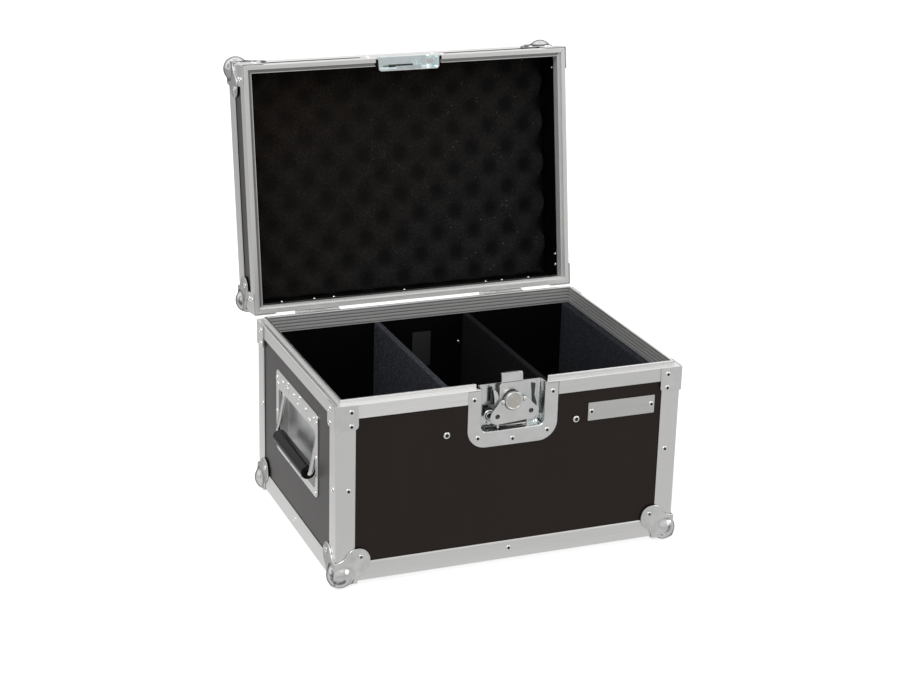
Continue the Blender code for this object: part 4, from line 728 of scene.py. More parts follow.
def film_finish(group, name, colour, rough, inner, shut=False):
    """Dark film on the boards, and their bare black inside."""
    net, shader, place, given = new_material(name, group)
    base = net.mix(given["Grain"], scaled(colour, 0.92), scaled(colour, 1.08))
    base = net.mix(net.spread(given["Scuffs"], 0, 1, 0.0, 0.10), base, scaled(colour, 3.0))
    base = net.mix(inside_mask(net, place, shut), base, inner)
    rough = net.spread(given["Grain"], 0, 1, rough - 0.01, rough + 0.02)
    finish_shader(net, shader, base, rough, given["Height"], 0.06, 0.05 * MM)
    net.link(net.facing(0.30, 0.72, 0.26, 0.54), shader.inputs["Specular IOR Level"])


def plain_finish(name, colour, rough):
    """A finish for a spot too small to show more than a faint unevenness."""
    net, shader, place, _ = new_material(name)
    marks = net.noise(place, 300.0, 3.0)
    base = net.mix(net.spread(marks, 0.3, 0.7), scaled(colour, 0.85), scaled(colour, 1.1))
    finish_shader(net, shader, base, rough, marks, 0.1, 0.3 * MM)


class CASE_OT_finishes(bpy.types.Operator):
    """Makes the finishes of the case"""
    bl_idname = "flight_case.finishes"
    bl_label = "Finishes"

    def execute(self, context):
        looks = context.scene.flight_case_finishes
        grain, plating, cells, film = grain_group(), plating_group(), cell_group(), film_group()
        # Name, axis of the lines, share of the colour, tilt, how metallic
        for name, axis, share, tilt, metallic in (
                ("aluminium_x", 0, 1.0, 0.0, 1.0), ("aluminium_y", 1, 1.0, 0.0, 1.0),
                ("aluminium_z", 2, 1.0, 0.0, 1.0), ("lid_aluminium_x", 0, 1.0, LID_OPEN, 1.0),
                ("lid_aluminium_y", 1, 1.0, LID_OPEN, 1.0), ("lid_aluminium_z", 2, 1.0, LID_OPEN, 1.0),
                # Copies of the aluminium: the front one lighter as painted light, the nameplate's darker, the
                # tongue, groove and slot ones darker as painted shade, and the inner legs' ones darker but
                # less metallic as painted light
                ("front_aluminium", 0, 1.08, 0.0, 0.8), ("plate_aluminium", 0, 0.84, 0.0, 1.0),
                ("tongue_shade", 1, 0.70, 0.0, 1.0), ("inner_leg", 0, 0.72, 0.0, 0.35),
                ("groove_shade", 0, 0.36, 0.0, 0.35), ("lid_step_shade", 0, 0.34, LID_OPEN, 1.0),
                ("lid_inner_leg", 1, 0.80, LID_OPEN, 0.30)):
            aluminium_finish(grain, name, axis, scaled(looks.aluminium, share), tilt, metallic)
        # Name, share of the colour, range of roughness, film, and then edge, patches, how metallic, and ring.
        # The edge is painted shade at the rim, the ring a painted dark reflection, and strong patches partly
        # painted reflection
        for name, share, *settings in (
                ("bright_zinc", 1.0, (0.14, 0.26), 0.25), ("satin_zinc", 1.0, (0.30, 0.38), 0.03),
                # The side steel is a lighter, less metallic copy as painted light, and the near black painted
                # shade steel stands in for shade in holes, slots and the latch's pocket
                ("polished_steel", 1.05, (0.06, 0.13), 0.03, 0.50, 0.20),
                ("bail_zinc", 1.0, (0.14, 0.22), 0.05, 0.55),
                ("ball_steel", 1.05, (0.05, 0.11), 0.05, 0.55, 0.20, 1.0, 0.85),
                ("side_steel", 0.95, (0.16, 0.26), 0.03, 0.25, 0.12, 0.55),
                ("rivet_steel", 1.1, (0.16, 0.24), 0.02), ("pressed_wall", 0.92, (0.34, 0.42), 0.10),
                ("dark_steel", 0.12, (0.25, 0.40), 0.0)):
            zinc_finish(plating, name, scaled(looks.zinc, share), *settings)
        zinc_finish(plating, "cast_zinc", (0.72, 0.69, 0.63, 1.0), (0.30, 0.46), 0.02)
        zinc_finish(plating, "tinted_zinc", (0.80, 0.88, 0.89, 1.0), (0.16, 0.28), 0.15)
        plain_finish("blank_label", (0.020, 0.020, 0.021, 1.0), 0.6)
        plain_finish("rivet_hole", (0.012, 0.012, 0.012, 1.0), 0.6)
        film_finish(film, "board_film", looks.film, 0.33, looks.inner_film)
        film_finish(film, "lid_board_film", looks.film, 0.33, looks.inner_film, True)
        film_finish(film, "inner_film", looks.inner_film, 0.50, looks.inner_film)
        # Name, colour and share of it, scale of the cells, bump, light, specks, and then roughness and gloss
        for name, colour, share, *settings in (
                ("lining_foam", looks.felt, 0.75, 480.0, 0.8, 3.4, 0.5),
                ("divider_felt", looks.felt, 1.0, 480.0, 0.9, 3.6, 0.6),
                ("shaded_felt", looks.felt, 0.12, 480.0, 0.5, 3.0, 0.06),
                ("grip_rubber", looks.rubber, 1.0, 500.0, 0.04, 1.3, 0.0, 0.24, 0.12)):
            soft_finish(cells, name, scaled(colour, share), *settings)
        soft_finish(cells, "lid_foam", looks.foam, 420.0, 0.7, 1.9, 0.5, hollow=True)
        return {"FINISHED"}


def refinish(nodes, finish):
    """Gives nodes of the model that stay in sight a better finish."""
    for node in nodes:
        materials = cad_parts[node].data.materials
        materials.clear()
        materials.append(bpy.data.materials[finish])


# Boards

def front_board():
    """The front board: a prism of its outline, which is notched at the top for the latch dish."""
    shape = Shape()
    half, head, notch_depth = 213.2 * MM, 215.4 * MM, 55.0 * MM
    foot = RIM_LINE - notch_depth
    outline = np.array(((-half, 0), (half, 0), (half, head), (LATCH_GAP, head), (LATCH_GAP, foot),
                        (-LATCH_GAP, foot), (-LATCH_GAP, head), (-half, head)))
    count = len(outline)
    points = facing_front(*outline.T, np.array(((BOARD_OUT,), (BOARD_IN,))))
    shape.add(points, grid_quads(2, count, close_columns=True), "board_film")
    shape.add(points, np.arange(count)[None], "board_film")
    shape.add(points, np.arange(count, 2 * count)[None], "inner_film")
    return shape


class CASE_OT_boards(bpy.types.Operator):
    """Builds the front board and finishes the other boards"""
    bl_idname = "flight_case.boards"
    bl_label = "Boards"

    def execute(self, context):
        piece("front_board", front_board(), "case", ("front_panel",))
        refinish(("back_panel", "left_panel", "right_panel", "bottom_panel"), "board_film")
        refinish(("lid_panel", "lid_walls"), "lid_board_film")
        return {"FINISHED"}


# Edge angles

def angle_profile(edge):
    """The L of an edge angle: a rounded outer corner and a small slant at the end of each leg."""
    points = np.array(((0.0, 0.0), (22.2, 0.0), (23.8, 0.8), (23.8, 1.5), (1.5, 1.5), (1.5, 23.8),
                       (0.8, 23.8), (0.0, 22.2))) * MM
    return round_corners(points, np.array((edge / MM, 0.3, 0.15, 0.2, 0.8, 0.2, 0.15, 0.3)) * MM, 4)


def mitre(u, v):
    """A three-way mitre cuts back as far as the larger of u and v."""
    return np.maximum(u, v) + 0.15 * MM


def square(u, v):
    """A square end cuts nothing back."""
    return np.zeros_like(u)


def side_bar(shape, side, profile, height, insets, finish, tones=(), span=None, upwards=UP):
    """A profile along one side of the case at a height, over its whole length unless a span is given."""
    origin, inwards, half, _ = SIDES[side]
    bar(shape, profile, (*origin, height), inwards, upwards, span or (-half, half), insets, finish, tones)


def edge_ring(shape, profile, height, upwards, prefix):
    """Four mitred bars round the bottom or the top of the case."""
    for side, (_, _, _, axis) in SIDES.items():
        side_bar(shape, side, profile, height, (mitre, mitre), prefix + axis, upwards=upwards)


def uprights(shape, profile, low, high, ends, finish):
    """Four bars up the corners of the case, their legs in the order that makes them run upwards."""
    for _, _, x_sign, y_sign in CORNERS:
        legs = ((-x_sign, 0, 0), (0, -y_sign, 0))
        inwards, upwards = legs if x_sign * y_sign > 0 else legs[::-1]
        bar(shape, profile, (x_sign * HALF_W, y_sign * HALF_D, 0), inwards, upwards, (low, high), ends,
            finish)


class CASE_OT_edges(bpy.types.Operator):
    """Builds the aluminium angles along the edges of the base and the lid"""
    bl_idname = "flight_case.edges"
    bl_label = "Edge angles"

    def execute(self, context):
        profile = angle_profile(context.scene.flight_case_sizes.edge_radius)
        shape = Shape()
        edge_ring(shape, profile, BASE_BOTTOM, UP, "aluminium_")
        piece("bottom_edge_angles", shape, "case", ["bottom_angle_" + side for side in SIDES])
        shape = Shape()
        uprights(shape, profile, BASE_BOTTOM, RIM_FOOT - 0.3 * MM, (mitre, square), "aluminium_z")
        piece("corner_edge_angles", shape, "case", ["corner_angle_" + corner[0] for corner in CORNERS])
        shape = Shape()
        edge_ring(shape, profile[::-1], LID_TOP, DOWN, "lid_aluminium_")
        uprights(shape, profile, LID_RIM_HEAD + 0.3 * MM, LID_TOP, (square, mitre), "lid_aluminium_z")
        piece("lid_edge_angles", shape, "lid", ("lid_edge_frame",))
        return {"FINISHED"}


# Closing profiles

def grooves(u, heights, depth):
    """Points of grooves in the straight inner face at u of a profile, at the given heights from below: each
    goes in to u - depth between half a width below its height and half a width above."""
    rise = np.array((-0.85, -0.6, 0.6, 0.85)) * MM
    inwards = np.array((0.0, depth, depth, 0.0))
    heights = np.sort(heights)[:, None]
    return np.stack((np.broadcast_to(u - inwards, (len(heights), 4)), heights + rise), axis=-1).reshape(-1, 2)


# Where the profiles' grooves and slot get painted shade, where their inner legs get painted light from a
# darker but less metallic copy of the aluminium, and where the left bar's tongue gets painted shade, with u
# and v in mm
BASE_TONES = (("groove_shade", lambda u, v: (u > 8.6) & (u < 9.5) & (v > -16.8) & (v < 3.6)),
              ("inner_leg", lambda u, v: (u >= 9.5) & (v < 3.8)))
LID_TONES = (("lid_step_shade", lambda u, v: (u > 5.9) & (u < 8.2) & (v > 0.8) & (v < 5.2)),
             ("lid_inner_leg", lambda u, v: (u > 9.5) & (v > 2.2)))
TONGUE_TONE = ("tongue_shade", lambda u, v: (u > 6.1) & (u < 7.0) & (v > 0.2))


def base_rim_profile(depth, full=True):
    """Closing profile of the base, u inwards and v up from the parting line: outer leg, shelf, tongue and
    grooved inner leg. Beside the latch its outer leg is missing."""
    groove = grooves(9.6 * MM, np.array((2.0, -2.1, -6.4, -10.8, -15.2)) * MM, depth)
    leg = ((0.0, -17.0), (0.9, -17.0), (1.5, -16.5), (1.5, -1.5))
    outer = leg if full else ((0.0, -1.2), (1.8, -1.2), (1.8, -1.5))
    start = np.array(outer + ((8.1, -1.5), (8.1, -17.0), (9.6, -17.0))) * MM
    end = np.array(((9.6, 4.6), (6.3, 4.6), (6.3, 0.0), (0.0, 0.0))) * MM
    radii = [0.12] * len(outer) + [0.5, 0.3, 0.3] + [0.12] * len(groove) + [0.9, 0.7, 0.25, 0.9]
    return round_corners(np.concatenate((start, groove, end)), np.array(radii) * MM, 3)


def lid_rim_profile(full=True, lipped=True):
    """Closing profile of the lid, v away from the parting line: outer leg, face strip, a slot for the base's
    tongue, the slot's inner lip and the inner leg."""
    leg = ((1.5, 1.5), (1.5, 16.5), (0.9, 17.0), (0.0, 17.0))
    outer = leg if full else ((1.8, 1.5), (1.8, 1.2), (0.0, 1.2))
    lip = ((9.7, 4.9), (9.7, 1.9), (10.5, 1.9), (10.5, 6.4), (9.6, 6.4)) if lipped else ((9.6, 4.9),)
    inner = ((9.6, 17.0), (8.1, 17.0), (8.1, 6.4), (4.5, 6.4), (4.5, 1.5))
    points = np.array(((0.0, 0.0), (6.0, 0.0), (6.0, 4.9)) + lip + inner + outer) * MM
    radii = [0.9, 0.3, 0.3] + [0.2] * len(lip) + [0.3] * len(inner) + [0.12] * len(outer)
    return round_corners(points, np.array(radii) * MM, 3)


def corner_cut(u, v):
    """A flat mitre cuts back as far as u."""
    return u + 0.12 * MM


def slant(u, v):
    """The front profile slants away from the latch by 5.5 mm over its width of 9.6 mm: 5.5 u / 9.6."""
    return 5.5 * u / 9.6


def front_bars(shape, whole, cut, height, gap, gap_end, finishes, tones):
    """The closing profile along the front, left and right of the latch: whole up to the dish's flange, then
    without its outer leg up to the gap, where it ends as gap_end says."""
    left, right = finishes
    for profile, span, insets, finish in (
            (whole, (-HALF_W, -LATCH_FLANGE), (corner_cut, square), left),
            (cut, (-LATCH_FLANGE, -gap), (square, gap_end), left),
            (whole, (LATCH_FLANGE, HALF_W), (square, corner_cut), right),
            (cut, (gap, LATCH_FLANGE), (gap_end, square), right)):
        side_bar(shape, "front", profile, height, insets, finish, tones, span)


class CASE_OT_rims(bpy.types.Operator):
    """Builds the closing profiles of the base and the lid"""
    bl_idname = "flight_case.rims"
    bl_label = "Closing profiles"

    def execute(self, context):
        depth = context.scene.flight_case_sizes.groove_depth
        shape, whole = Shape(), base_rim_profile(depth)
        for side, finish, tones in (("back", "aluminium_x", BASE_TONES),
                                    ("left", "aluminium_y", BASE_TONES + (TONGUE_TONE,)),
                                    ("right", "aluminium_y", BASE_TONES)):
            side_bar(shape, side, whole, RIM_LINE, (corner_cut, corner_cut), finish, tones)
        # Left of the latch the front bars take a lighter copy of the aluminium, as painted light
        front_bars(shape, whole, base_rim_profile(depth, False), RIM_LINE, LATCH_GAP, slant,
                   ("front_aluminium", "aluminium_x"), BASE_TONES)
        piece("base_closing_profile", shape, "case",
              ["base_rim_" + side for side in ("front_left", "front_right", "back", "left", "right")])
        shape, whole = Shape(), lid_rim_profile()
        for side, profile, finish, tones in (("back", lid_rim_profile(lipped=False), "lid_aluminium_x", ()),
                                             ("left", whole, "lid_aluminium_y", LID_TONES),
                                             ("right", whole, "lid_aluminium_y", LID_TONES[1:])):
            side_bar(shape, side, profile, LID_LINE, (corner_cut, corner_cut), finish, tones)
        front_bars(shape, whole, lid_rim_profile(False), LID_LINE, KEEPER_GAP, square,
                   ("lid_aluminium_x",) * 2, LID_TONES)
        piece("lid_closing_profile", shape, "lid", ("lid_rim",))
        return {"FINISHED"}


# Ball corners

def ball_corner(ball, blend):
    """One ball corner, X, Y and Z into the case, as points and quads. Over each face its height is a smooth
    maximum of the ball, sqrt(R^2 - r^2) - inset, and the petal's plate; the face's points run from the ball's
    middle to the petal's outline. Where two faces meet, x equals the height, found by halving steps.
    Gives the points of the three faces, the quads of one and which of them are on the ball."""
    inset, outer, inner, petal = 7.8 * MM, 1.5 * MM, 0.3 * MM, 26.5 * MM

    def height(x, y):
        bulge = np.sqrt(np.maximum(ball ** 2 - (x - inset) ** 2 - (y - inset) ** 2, 1e-12)) - inset
        outwards = np.maximum(0, (x + y) / 2 - PETAL_SEAT)
        seat = np.hypot(x - PETAL_SEAT - outwards, y - PETAL_SEAT - outwards)
        over = outer - 0.7 * MM * (1 - smooth_step(seat, 4.8 * MM, 6.2 * MM))
        return 0.5 * (bulge + over + np.sqrt((bulge - over) ** 2 + blend ** 2))

    corner = np.array(-1.0 * MM)
    for _ in range(40):
        corner = (corner - height(corner, corner)) / 2
    y_edge = corner + (petal - corner) * np.linspace(0, 1, 24)
    x_edge = np.full_like(y_edge, -1.5 * MM)
    x_edge[0] = corner
    for _ in range(60):
        x_edge = (x_edge - height(x_edge, y_edge)) / 2
    x_edge[0] = corner
    root = np.array((x_edge[-1], y_edge[-1]))
    arc = arc_points((petal, petal), 15.5 * MM, 150, -60, 22)
    share = np.linspace(0, 1, 10)[:, None]
    control = root + np.array((8.5, 0.4)) * MM, arc[0] - 5.5 * MM * np.array((0.5, 0.866))
    flank = ((1 - share) ** 3 * root + 3 * share * (1 - share) ** 2 * control[0]
             + 3 * share ** 2 * (1 - share) * control[1] + share ** 3 * arc[0])
    half = np.concatenate((np.stack((x_edge, y_edge), axis=1), flank[1:-1], arc[:12]))
    outline = np.concatenate((half, half[-2::-1, ::-1]))[:-1]
    edge_count, total = len(y_edge), len(outline)
    number = np.arange(total)
    # The outline's points past the edges shared with other faces are on the petal, whose rim is rounded off
    on_petal = (number >= edge_count - 1) & (number <= total - edge_count + 1)
    reach = np.concatenate((np.linspace(0, 0.97, 24), (0.985, 1.0)))
    fall = np.zeros(len(reach))
    fall[-2:] = (0.10 * MM, 0.45 * MM)
    flat = inset + reach[None, :, None] * (outline[:, None] - inset)
    up = height(flat[..., 0], flat[..., 1]) - fall[None, :] * on_petal[:, None]
    over = spaced(*np.moveaxis(flat, -1, 0), -up)
    inner_outline = np.maximum(outline, -inner)[:, None]
    under_flat = np.concatenate((inner_outline, np.full_like(inner_outline, inset)), axis=1)
    under = spaced(*np.moveaxis(under_flat, -1, 0), -inner)
    points = np.concatenate((over, under), axis=1)
    columns = points.shape[1]
    quads = grid_quads(total, columns, close_rows=True)
    # Of the quads that join the upper side to the lower one, only those along the petal are kept
    wall = quads[:, 0] % columns == len(reach) - 1
    row = quads[:, 0] // columns
    petal_row = on_petal[row] & on_petal[(row + 1) % total]
    quads = quads[~wall | petal_row]
    cycle = points.reshape(-1, 3)
    on_ball = np.hypot(*(cycle[quads].mean(axis=1)[:, :2] - inset).T) < ball
    return [cycle, cycle[:, (2, 0, 1)], cycle[:, (1, 2, 0)]], quads, on_ball


class CASE_OT_ball_corners(bpy.types.Operator):
    """Builds the eight ball corners"""
    bl_idname = "flight_case.ball_corners"
    bl_label = "Ball corners"

    def execute(self, context):
        sizes = context.scene.flight_case_sizes
        faces, quads, on_ball = ball_corner(sizes.ball_radius, sizes.ball_blend)
        level = -0.8 * MM
        seats = np.array(((PETAL_SEAT, PETAL_SEAT, level), (level, PETAL_SEAT, PETAL_SEAT),
                          (PETAL_SEAT, level, PETAL_SEAT)))
        normals = np.array((DOWN, LEFT, FRONT))
        for body, prefix, height, upside in (("case", "base_", BASE_BOTTOM, False),
                                             ("lid", "lid_", LID_TOP, True)):
            shape = Shape()
            for _, turn, x_sign, y_sign in CORNERS:
                matrix = corner_matrix(turn, x_sign, y_sign, height, upside)
                outwards = normals @ matrix[:3, :3].T
                for points, outward in zip(faces, outwards):
                    # Faces that look left or right, off the ball, take a lighter, less metallic copy of the
                    # steel as painted light; the ball's own finish has a painted dark reflection
                    beside = ~on_ball & (abs(outward[0]) > 0.5)
                    for chosen, finish in ((on_ball, "ball_steel"), (~beside & ~on_ball, "polished_steel"),
                                           (beside, "side_steel")):
                        shape.add(moved(matrix, points), quads[chosen], finish)
                rivets(shape, moved(matrix, seats), outwards, sizes.rivet_radius, sizes.rivet_height)
            piece(prefix + "ball_corners", shape, body,
                  [prefix + "ball_corner_" + corner[0] for corner in CORNERS])
        return {"FINISHED"}


# Corner braces

def brace(height, spacing):
    """One corner brace: a sheet folded round the corner. Its cross-section is carried up its height, and its
    width shrinks as r - sqrt(r^2 - t^2) near the rounded far corners."""
    width, radius, fold = 26.5 * MM, 5.0 * MM, 1.8 * MM
    straight = height - radius
    rounded = straight + radius * np.sin(np.linspace(0, pi / 2, 9)[1:])
    rise = np.concatenate((np.linspace(0, straight, 6), rounded))
    past = np.maximum(0, rise - straight)
    limit = width - (radius - np.sqrt(np.maximum(radius ** 2 - past ** 2, 0)))

    def section(out, fold_radius):
        """Points from the side leg round the fold to the front leg, as shares of the leg past the fold."""
        bend = np.linspace(pi, 1.5 * pi, 7)
        centre = -out + fold_radius
        turn = np.stack((centre + fold_radius * np.cos(bend), centre + fold_radius * np.sin(bend)), axis=1)
        leg = limit[:, None] - centre
        share = np.linspace(1, 0, 6)[:-1]
        side = np.stack((np.full((len(rise), 5), -out), centre + leg * share), axis=-1)
        turns = np.broadcast_to(turn, (len(rise),) + turn.shape)
        return np.concatenate((side, turns, side[:, ::-1, ::-1]), axis=1)

    loop = np.concatenate((section(1.5 * MM, fold), section(0.3 * MM, fold - 1.2 * MM)[:, ::-1]), axis=1)
    points = spaced(*np.moveaxis(loop, -1, 0), rise[:, None])
    rows, columns = loop.shape[:2]
    caps = np.stack((np.arange(columns), np.arange(columns) + (rows - 1) * columns))
    lines, across, level = (8.5 * MM, 8.5 * MM + spacing), 17.8 * MM, -1.5 * MM
    seats = np.array([(across, level, line) for line in lines] + [(level, across, line) for line in lines])
    normals = np.array([FRONT] * 2 + [LEFT] * 2)
    return points.reshape(-1, 3), grid_quads(rows, columns, close_columns=True), caps, seats, normals


class CASE_OT_braces(bpy.types.Operator):
    """Builds the folded corner braces at the parting line"""
    bl_idname = "flight_case.braces"
    bl_label = "Corner braces"

    def execute(self, context):
        sizes = context.scene.flight_case_sizes
        for body, prefix, level, upside, height, spacing in (
                ("case", "base_", RIM_LINE, True, 30.0 * MM, 17.0 * MM),
                ("lid", "lid_", LID_LINE, False, 25.0 * MM, 11.0 * MM)):
            points, quads, caps, seats, normals = brace(height, spacing)
            shape, heads = Shape(), Shape()
            for _, turn, x_sign, y_sign in CORNERS:
                matrix = corner_matrix(turn, x_sign, y_sign, level, upside)
                shape.add(moved(matrix, points), quads, "satin_zinc")
                shape.add(moved(matrix, points), caps, "satin_zinc")
                rivets(heads, moved(matrix, seats), normals @ matrix[:3, :3].T, sizes.rivet_radius,
                       sizes.rivet_height)
            piece(prefix + "corner_braces", shape, body,
                  [prefix + "corner_brace_" + corner[0] for corner in CORNERS], soften=sizes.sheet_edge)
            piece(prefix + "brace_rivets", heads, body)
        return {"FINISHED"}


# Latch

def dish_rows(flange, mouth, depth):
    """Cross-section of a pressed dish as rows of half width, drop, corner radius, head and depth in mm:
    round the flange's edge, over the rolled mouth, down the wall, across the floor to its middle, and back
    behind."""
    (fw, fd, fr), (mw, md, mr) = flange, mouth
    return np.array((
        (fw, fd, fr, -1.8, 1.5), (fw, fd, fr, -1.8, 0.7), (fw - 0.15, fd - 0.15, fr, -1.8, 0.42),
        (fw - 0.5, fd - 0.5, fr - 0.5, -1.8, 0.3), (mw + 1.9, md + 1.9, mr + 1.9, -1.8, 0.3),
        (mw + 0.8, md + 0.8, mr + 0.8, -1.0, 0.55), (mw + 0.2, md + 0.2, mr + 0.2, -0.3, 1.1),
        (mw, md, mr, 0, 2.1), (mw - 0.9, md - 0.9, mr - 0.6, 0, depth - 3.2),
        (mw - 1.5, md - 1.5, mr - 1.0, 0, depth - 1.9), (mw - 2.6, md - 2.6, mr - 1.8, 0, depth - 1.3),
        (mw - 4.0, md - 4.0, mr - 2.6, 0, depth - 1.2), (0.0, 0.0, 0.0, 0, depth - 1.2),
        (0.0, 0.0, 0.0, 0, depth), (mw - 2.4, md - 2.4, mr - 1.6, 0, depth),
        (mw - 0.4, md - 0.4, mr, 0, depth - 0.9), (mw + 0.8, md + 0.8, mr + 0.8, 0, depth - 2.6),
        (mw + 1.2, md + 1.2, mr + 1.2, 0, 2.6), (mw + 2.2, md + 2.2, mr + 2.2, -1.8, 1.5)))


def dish_shape(rows, level, sign, finishes):
    """A dish whose cross-section rows are carried round an open outline, at a level, up (-1) or down (1)
    from it."""
    half, drop, radius, head, depth = rows.T * MM
    across, up = outlines(-half, half, -drop, head, np.minimum(radius, drop), 0.0, True, 10)
    points = facing_front(across, level + sign * up, depth[:, None])
    count, columns = across.shape
    shape = pressed(points, grid_quads(count, columns, close_rows=True), (4, 17), finishes)
    ends = np.stack((np.arange(count) * columns, np.arange(count) * columns + columns - 1))
    shape.add(points, ends, finishes[0])
    return shape


def tilted(points):
    """Points turned about the boss by the few degrees at which the wing was left."""
    x, z = points[..., 0], points[..., 2] - SPINDLE_Z
    c, s = cos(WING_TILT), sin(WING_TILT)
    return np.stack((c * x - s * z, points[..., 1], SPINDLE_Z + s * x + c * z), axis=-1)


def tilted_direction(sign):
    """The direction of the wing's pins."""
    return (sign * cos(WING_TILT), 0.0, sign * sin(WING_TILT))


def boss():
    """The latch's turning boss, its pins, shaft and cam, each a profile turned about its axis."""
    front = -HALF_D - 2.5 * MM
    rim = np.array(((0.55, 0.0), (0.5, 6.0), (0.42, 8.9), (0.05, 9.3), (0.0, 9.7), (0.0, 10.2), (0.12, 10.75),
                    (0.5, 11.1), (1.0, 11.2), (4.8, 11.2), (5.6, 10.6), (5.6, 0.0))) * MM
    shape = Shape()
    turned(shape, (0, front, SPINDLE_Z), BACK, rim[2:], "polished_steel", 48)
    turned(shape, (0, front, SPINDLE_Z), BACK, rim[:3], "cast_zinc", 48)
    marks = np.array(((-2.9, 2.6), (3.1, -2.4))) * MM
    domes(shape, marks + (0, SPINDLE_Z), np.full((2, 2), 2.5 * MM), 0.3 * MM, at_depth(-2.05 * MM),
          "cast_zinc")
    # Two thin bright arcs round the boss's upper left are painted highlight on its rounded rim
    angle = np.radians(np.linspace(100, 215, 24))
    for radius in (6.9 * MM, 9.0 * MM):
        highlight_arc = facing_front(radius * np.cos(angle), SPINDLE_Z + radius * np.sin(angle), -2.1 * MM)
        tube(shape, highlight_arc, 0.35 * MM, (0.0, 1.0, 0.0), "polished_steel", 8)
    pin = np.array(((-11.4, 0.0), (-11.4, 1.5), (11.4, 1.5), (11.4, 0.0))) * MM
    turned(shape, (0, -HALF_D + 0.5 * MM, SPINDLE_Z), tilted_direction(1), pin, "bright_zinc", 20)
    shaft = np.array(((4.0, 0.0), (4.0, 4.0), (18.0, 4.0), (18.3, 3.7), (18.3, 0.0))) * MM
    turned(shape, (0, front, SPINDLE_Z), BACK, shaft, "bright_zinc", 32)
    cam = np.array(((0.0, 0.0), (0.0, 7.7), (0.3, 8.0), (1.9, 8.0), (2.2, 7.7), (2.2, 0.0))) * MM
    turned(shape, (0, -HALF_D + 11.3 * MM, SPINDLE_Z + 3.0 * MM), BACK, cam, "bright_zinc", 40)
    return shape


def wing(edge):
    """The butterfly wing: each half is a ring between its outline and its lobe's hole, and knuckles hold the
    pins."""
    lobe = np.array((21.0, -16.5)) * MM
    arc = arc_points((20.8 * MM, -17.4 * MM), 9.0 * MM, 36, -90, 16)
    rim = arc_points((0, 0), 12.0 * MM, -90, -14, 20)
    notch = np.array(((14.8, -2.9), (15.0, -2.4), (15.0, 1.9), (15.6, 1.9), (16.6, 1.1))) * MM
    outline = densified(np.concatenate((rim, notch, arc, np.array(((0.0, -26.4),)) * MM)), 1.4 * MM)
    angle = np.arctan2(outline[:, 1] - lobe[1], outline[:, 0] - lobe[0])
    hole = lobe + 2.8 * MM * np.stack((np.cos(angle), np.sin(angle)), axis=1)
    seat = np.array(((-0.24, 2.75), (0.5, 2.5), (1.1, 2.0), (1.2, 0.0))) * MM
    barrel = np.array(((0.0, 0.0), (0.0, 2.4), (0.2, 2.6), (3.0, 2.6), (3.2, 2.4), (3.2, 0.0))) * MM
    shape = Shape()
    for sign in (1, -1):
        def place(across, up, depth, sign=sign):
            """On the front plane, and tilted about the boss."""
            return tilted(facing_front(sign * across, SPINDLE_Z + up, -0.25 * MM + depth))
        plate(shape, outline, hole, place, 1.5 * MM, edge, "satin_zinc", 4, np.abs(outline[:, 0]) < 0.01 * MM)
        centre = tilted(np.array(((sign * lobe[0], -HALF_D, SPINDLE_Z + lobe[1]),)))
        # A near black cone fills each lobe's hole: painted shade of the pocket seen through it
        turned(shape, centre, BACK, seat, "dark_steel", 28)
        start = tilted(np.array(((sign * 11.7 * MM, -HALF_D + 0.5 * MM, SPINDLE_Z),)))
        turned(shape, start, tilted_direction(sign), barrel, "satin_zinc", 28)
    return shape


def latch_inside():
    """What shows of the mechanism round the wing: spring strip, catch ring, stops and the plate they stand
    on. Its near black sheets and the long dark streak are painted shade in the pocket beside, under and right
    of the wing."""
    shape = Shape()
    right = np.array(((-21.6, 212.6), (-18.6, 208.8), (-16.9, 203.6), (-17.2, 197.0), (-18.8, 189.0)))
    left = np.array(((-22.4, 189.0), (-22.0, 196.0), (-22.2, 202.0), (-23.0, 207.0), (-24.0, 211.6)))
    outer = densified(round_corners(np.concatenate((right, left)), 0.5), 2.0) * MM
    sheet(shape, outer, np.array((-20.4, 201.0)) * MM, 0.05, at_depth(4.5 * MM), 1.0 * MM, 0.3 * MM,
          "satin_zinc")
    angle = np.linspace(0, tau, 49)
    for radius, wire in ((6.3, 0.9), (3.6, 0.6)):
        ring = facing_front((-28.4 + radius * np.cos(angle)) * MM,
                            (182.4 + radius * np.sin(angle)) * MM, 3.6 * MM)
        tube(shape, ring, wire * MM, (0.0, 1.0, 0.0), "bright_zinc", 10)
    # Near black sheets are painted shade in the pocket; the zinc ones are small stops and plates
    for corners, level, finish in (
            ((-31.5, -23.5, 176.0, 190.0), 8.0, "dark_steel"),
            ((-25.5, -19.0, 194.0, 211.5), 8.0, "dark_steel"),
            ((-33.0, -18.0, 163.6, 167.2), 12.9, "dark_steel"),
            ((-15.0, 21.0, 166.4, 172.5), 9.0, "dark_steel"),
            ((-19.0, 20.0, 162.6, 164.6), 12.6, "dark_steel"),
            ((-18.2, -16.0, 165.0, 171.2), 4.0, "satin_zinc"),
            ((19.0, 21.2, 165.0, 171.4), 4.0, "satin_zinc"),
            ((22.0, 31.0, 161.0, 170.0), 12.4, "tinted_zinc"),
            ((-27.5, -24.8, 168.0, 174.0), 11.0, "satin_zinc")):
        tag(shape, np.array(corners) * MM, 0.9 * MM, level * MM, 0.8 * MM, finish)
    # A long dark streak of painted shade down the pocket's right side
    streak = np.array(((27.0, 213.0), (32.5, 212.0), (31.6, 198.0), (34.6, 188.0), (35.2, 172.0),
                       (32.4, 173.0), (29.0, 190.0), (28.4, 200.0)))
    outer = densified(round_corners(streak, 0.6), 2.5)[::-1] * MM
    sheet(shape, outer, np.array((31.0, 193.0)) * MM, 0.05, at_depth(12.9 * MM), 0.6 * MM, 0.15 * MM,
          "dark_steel")
    return shape


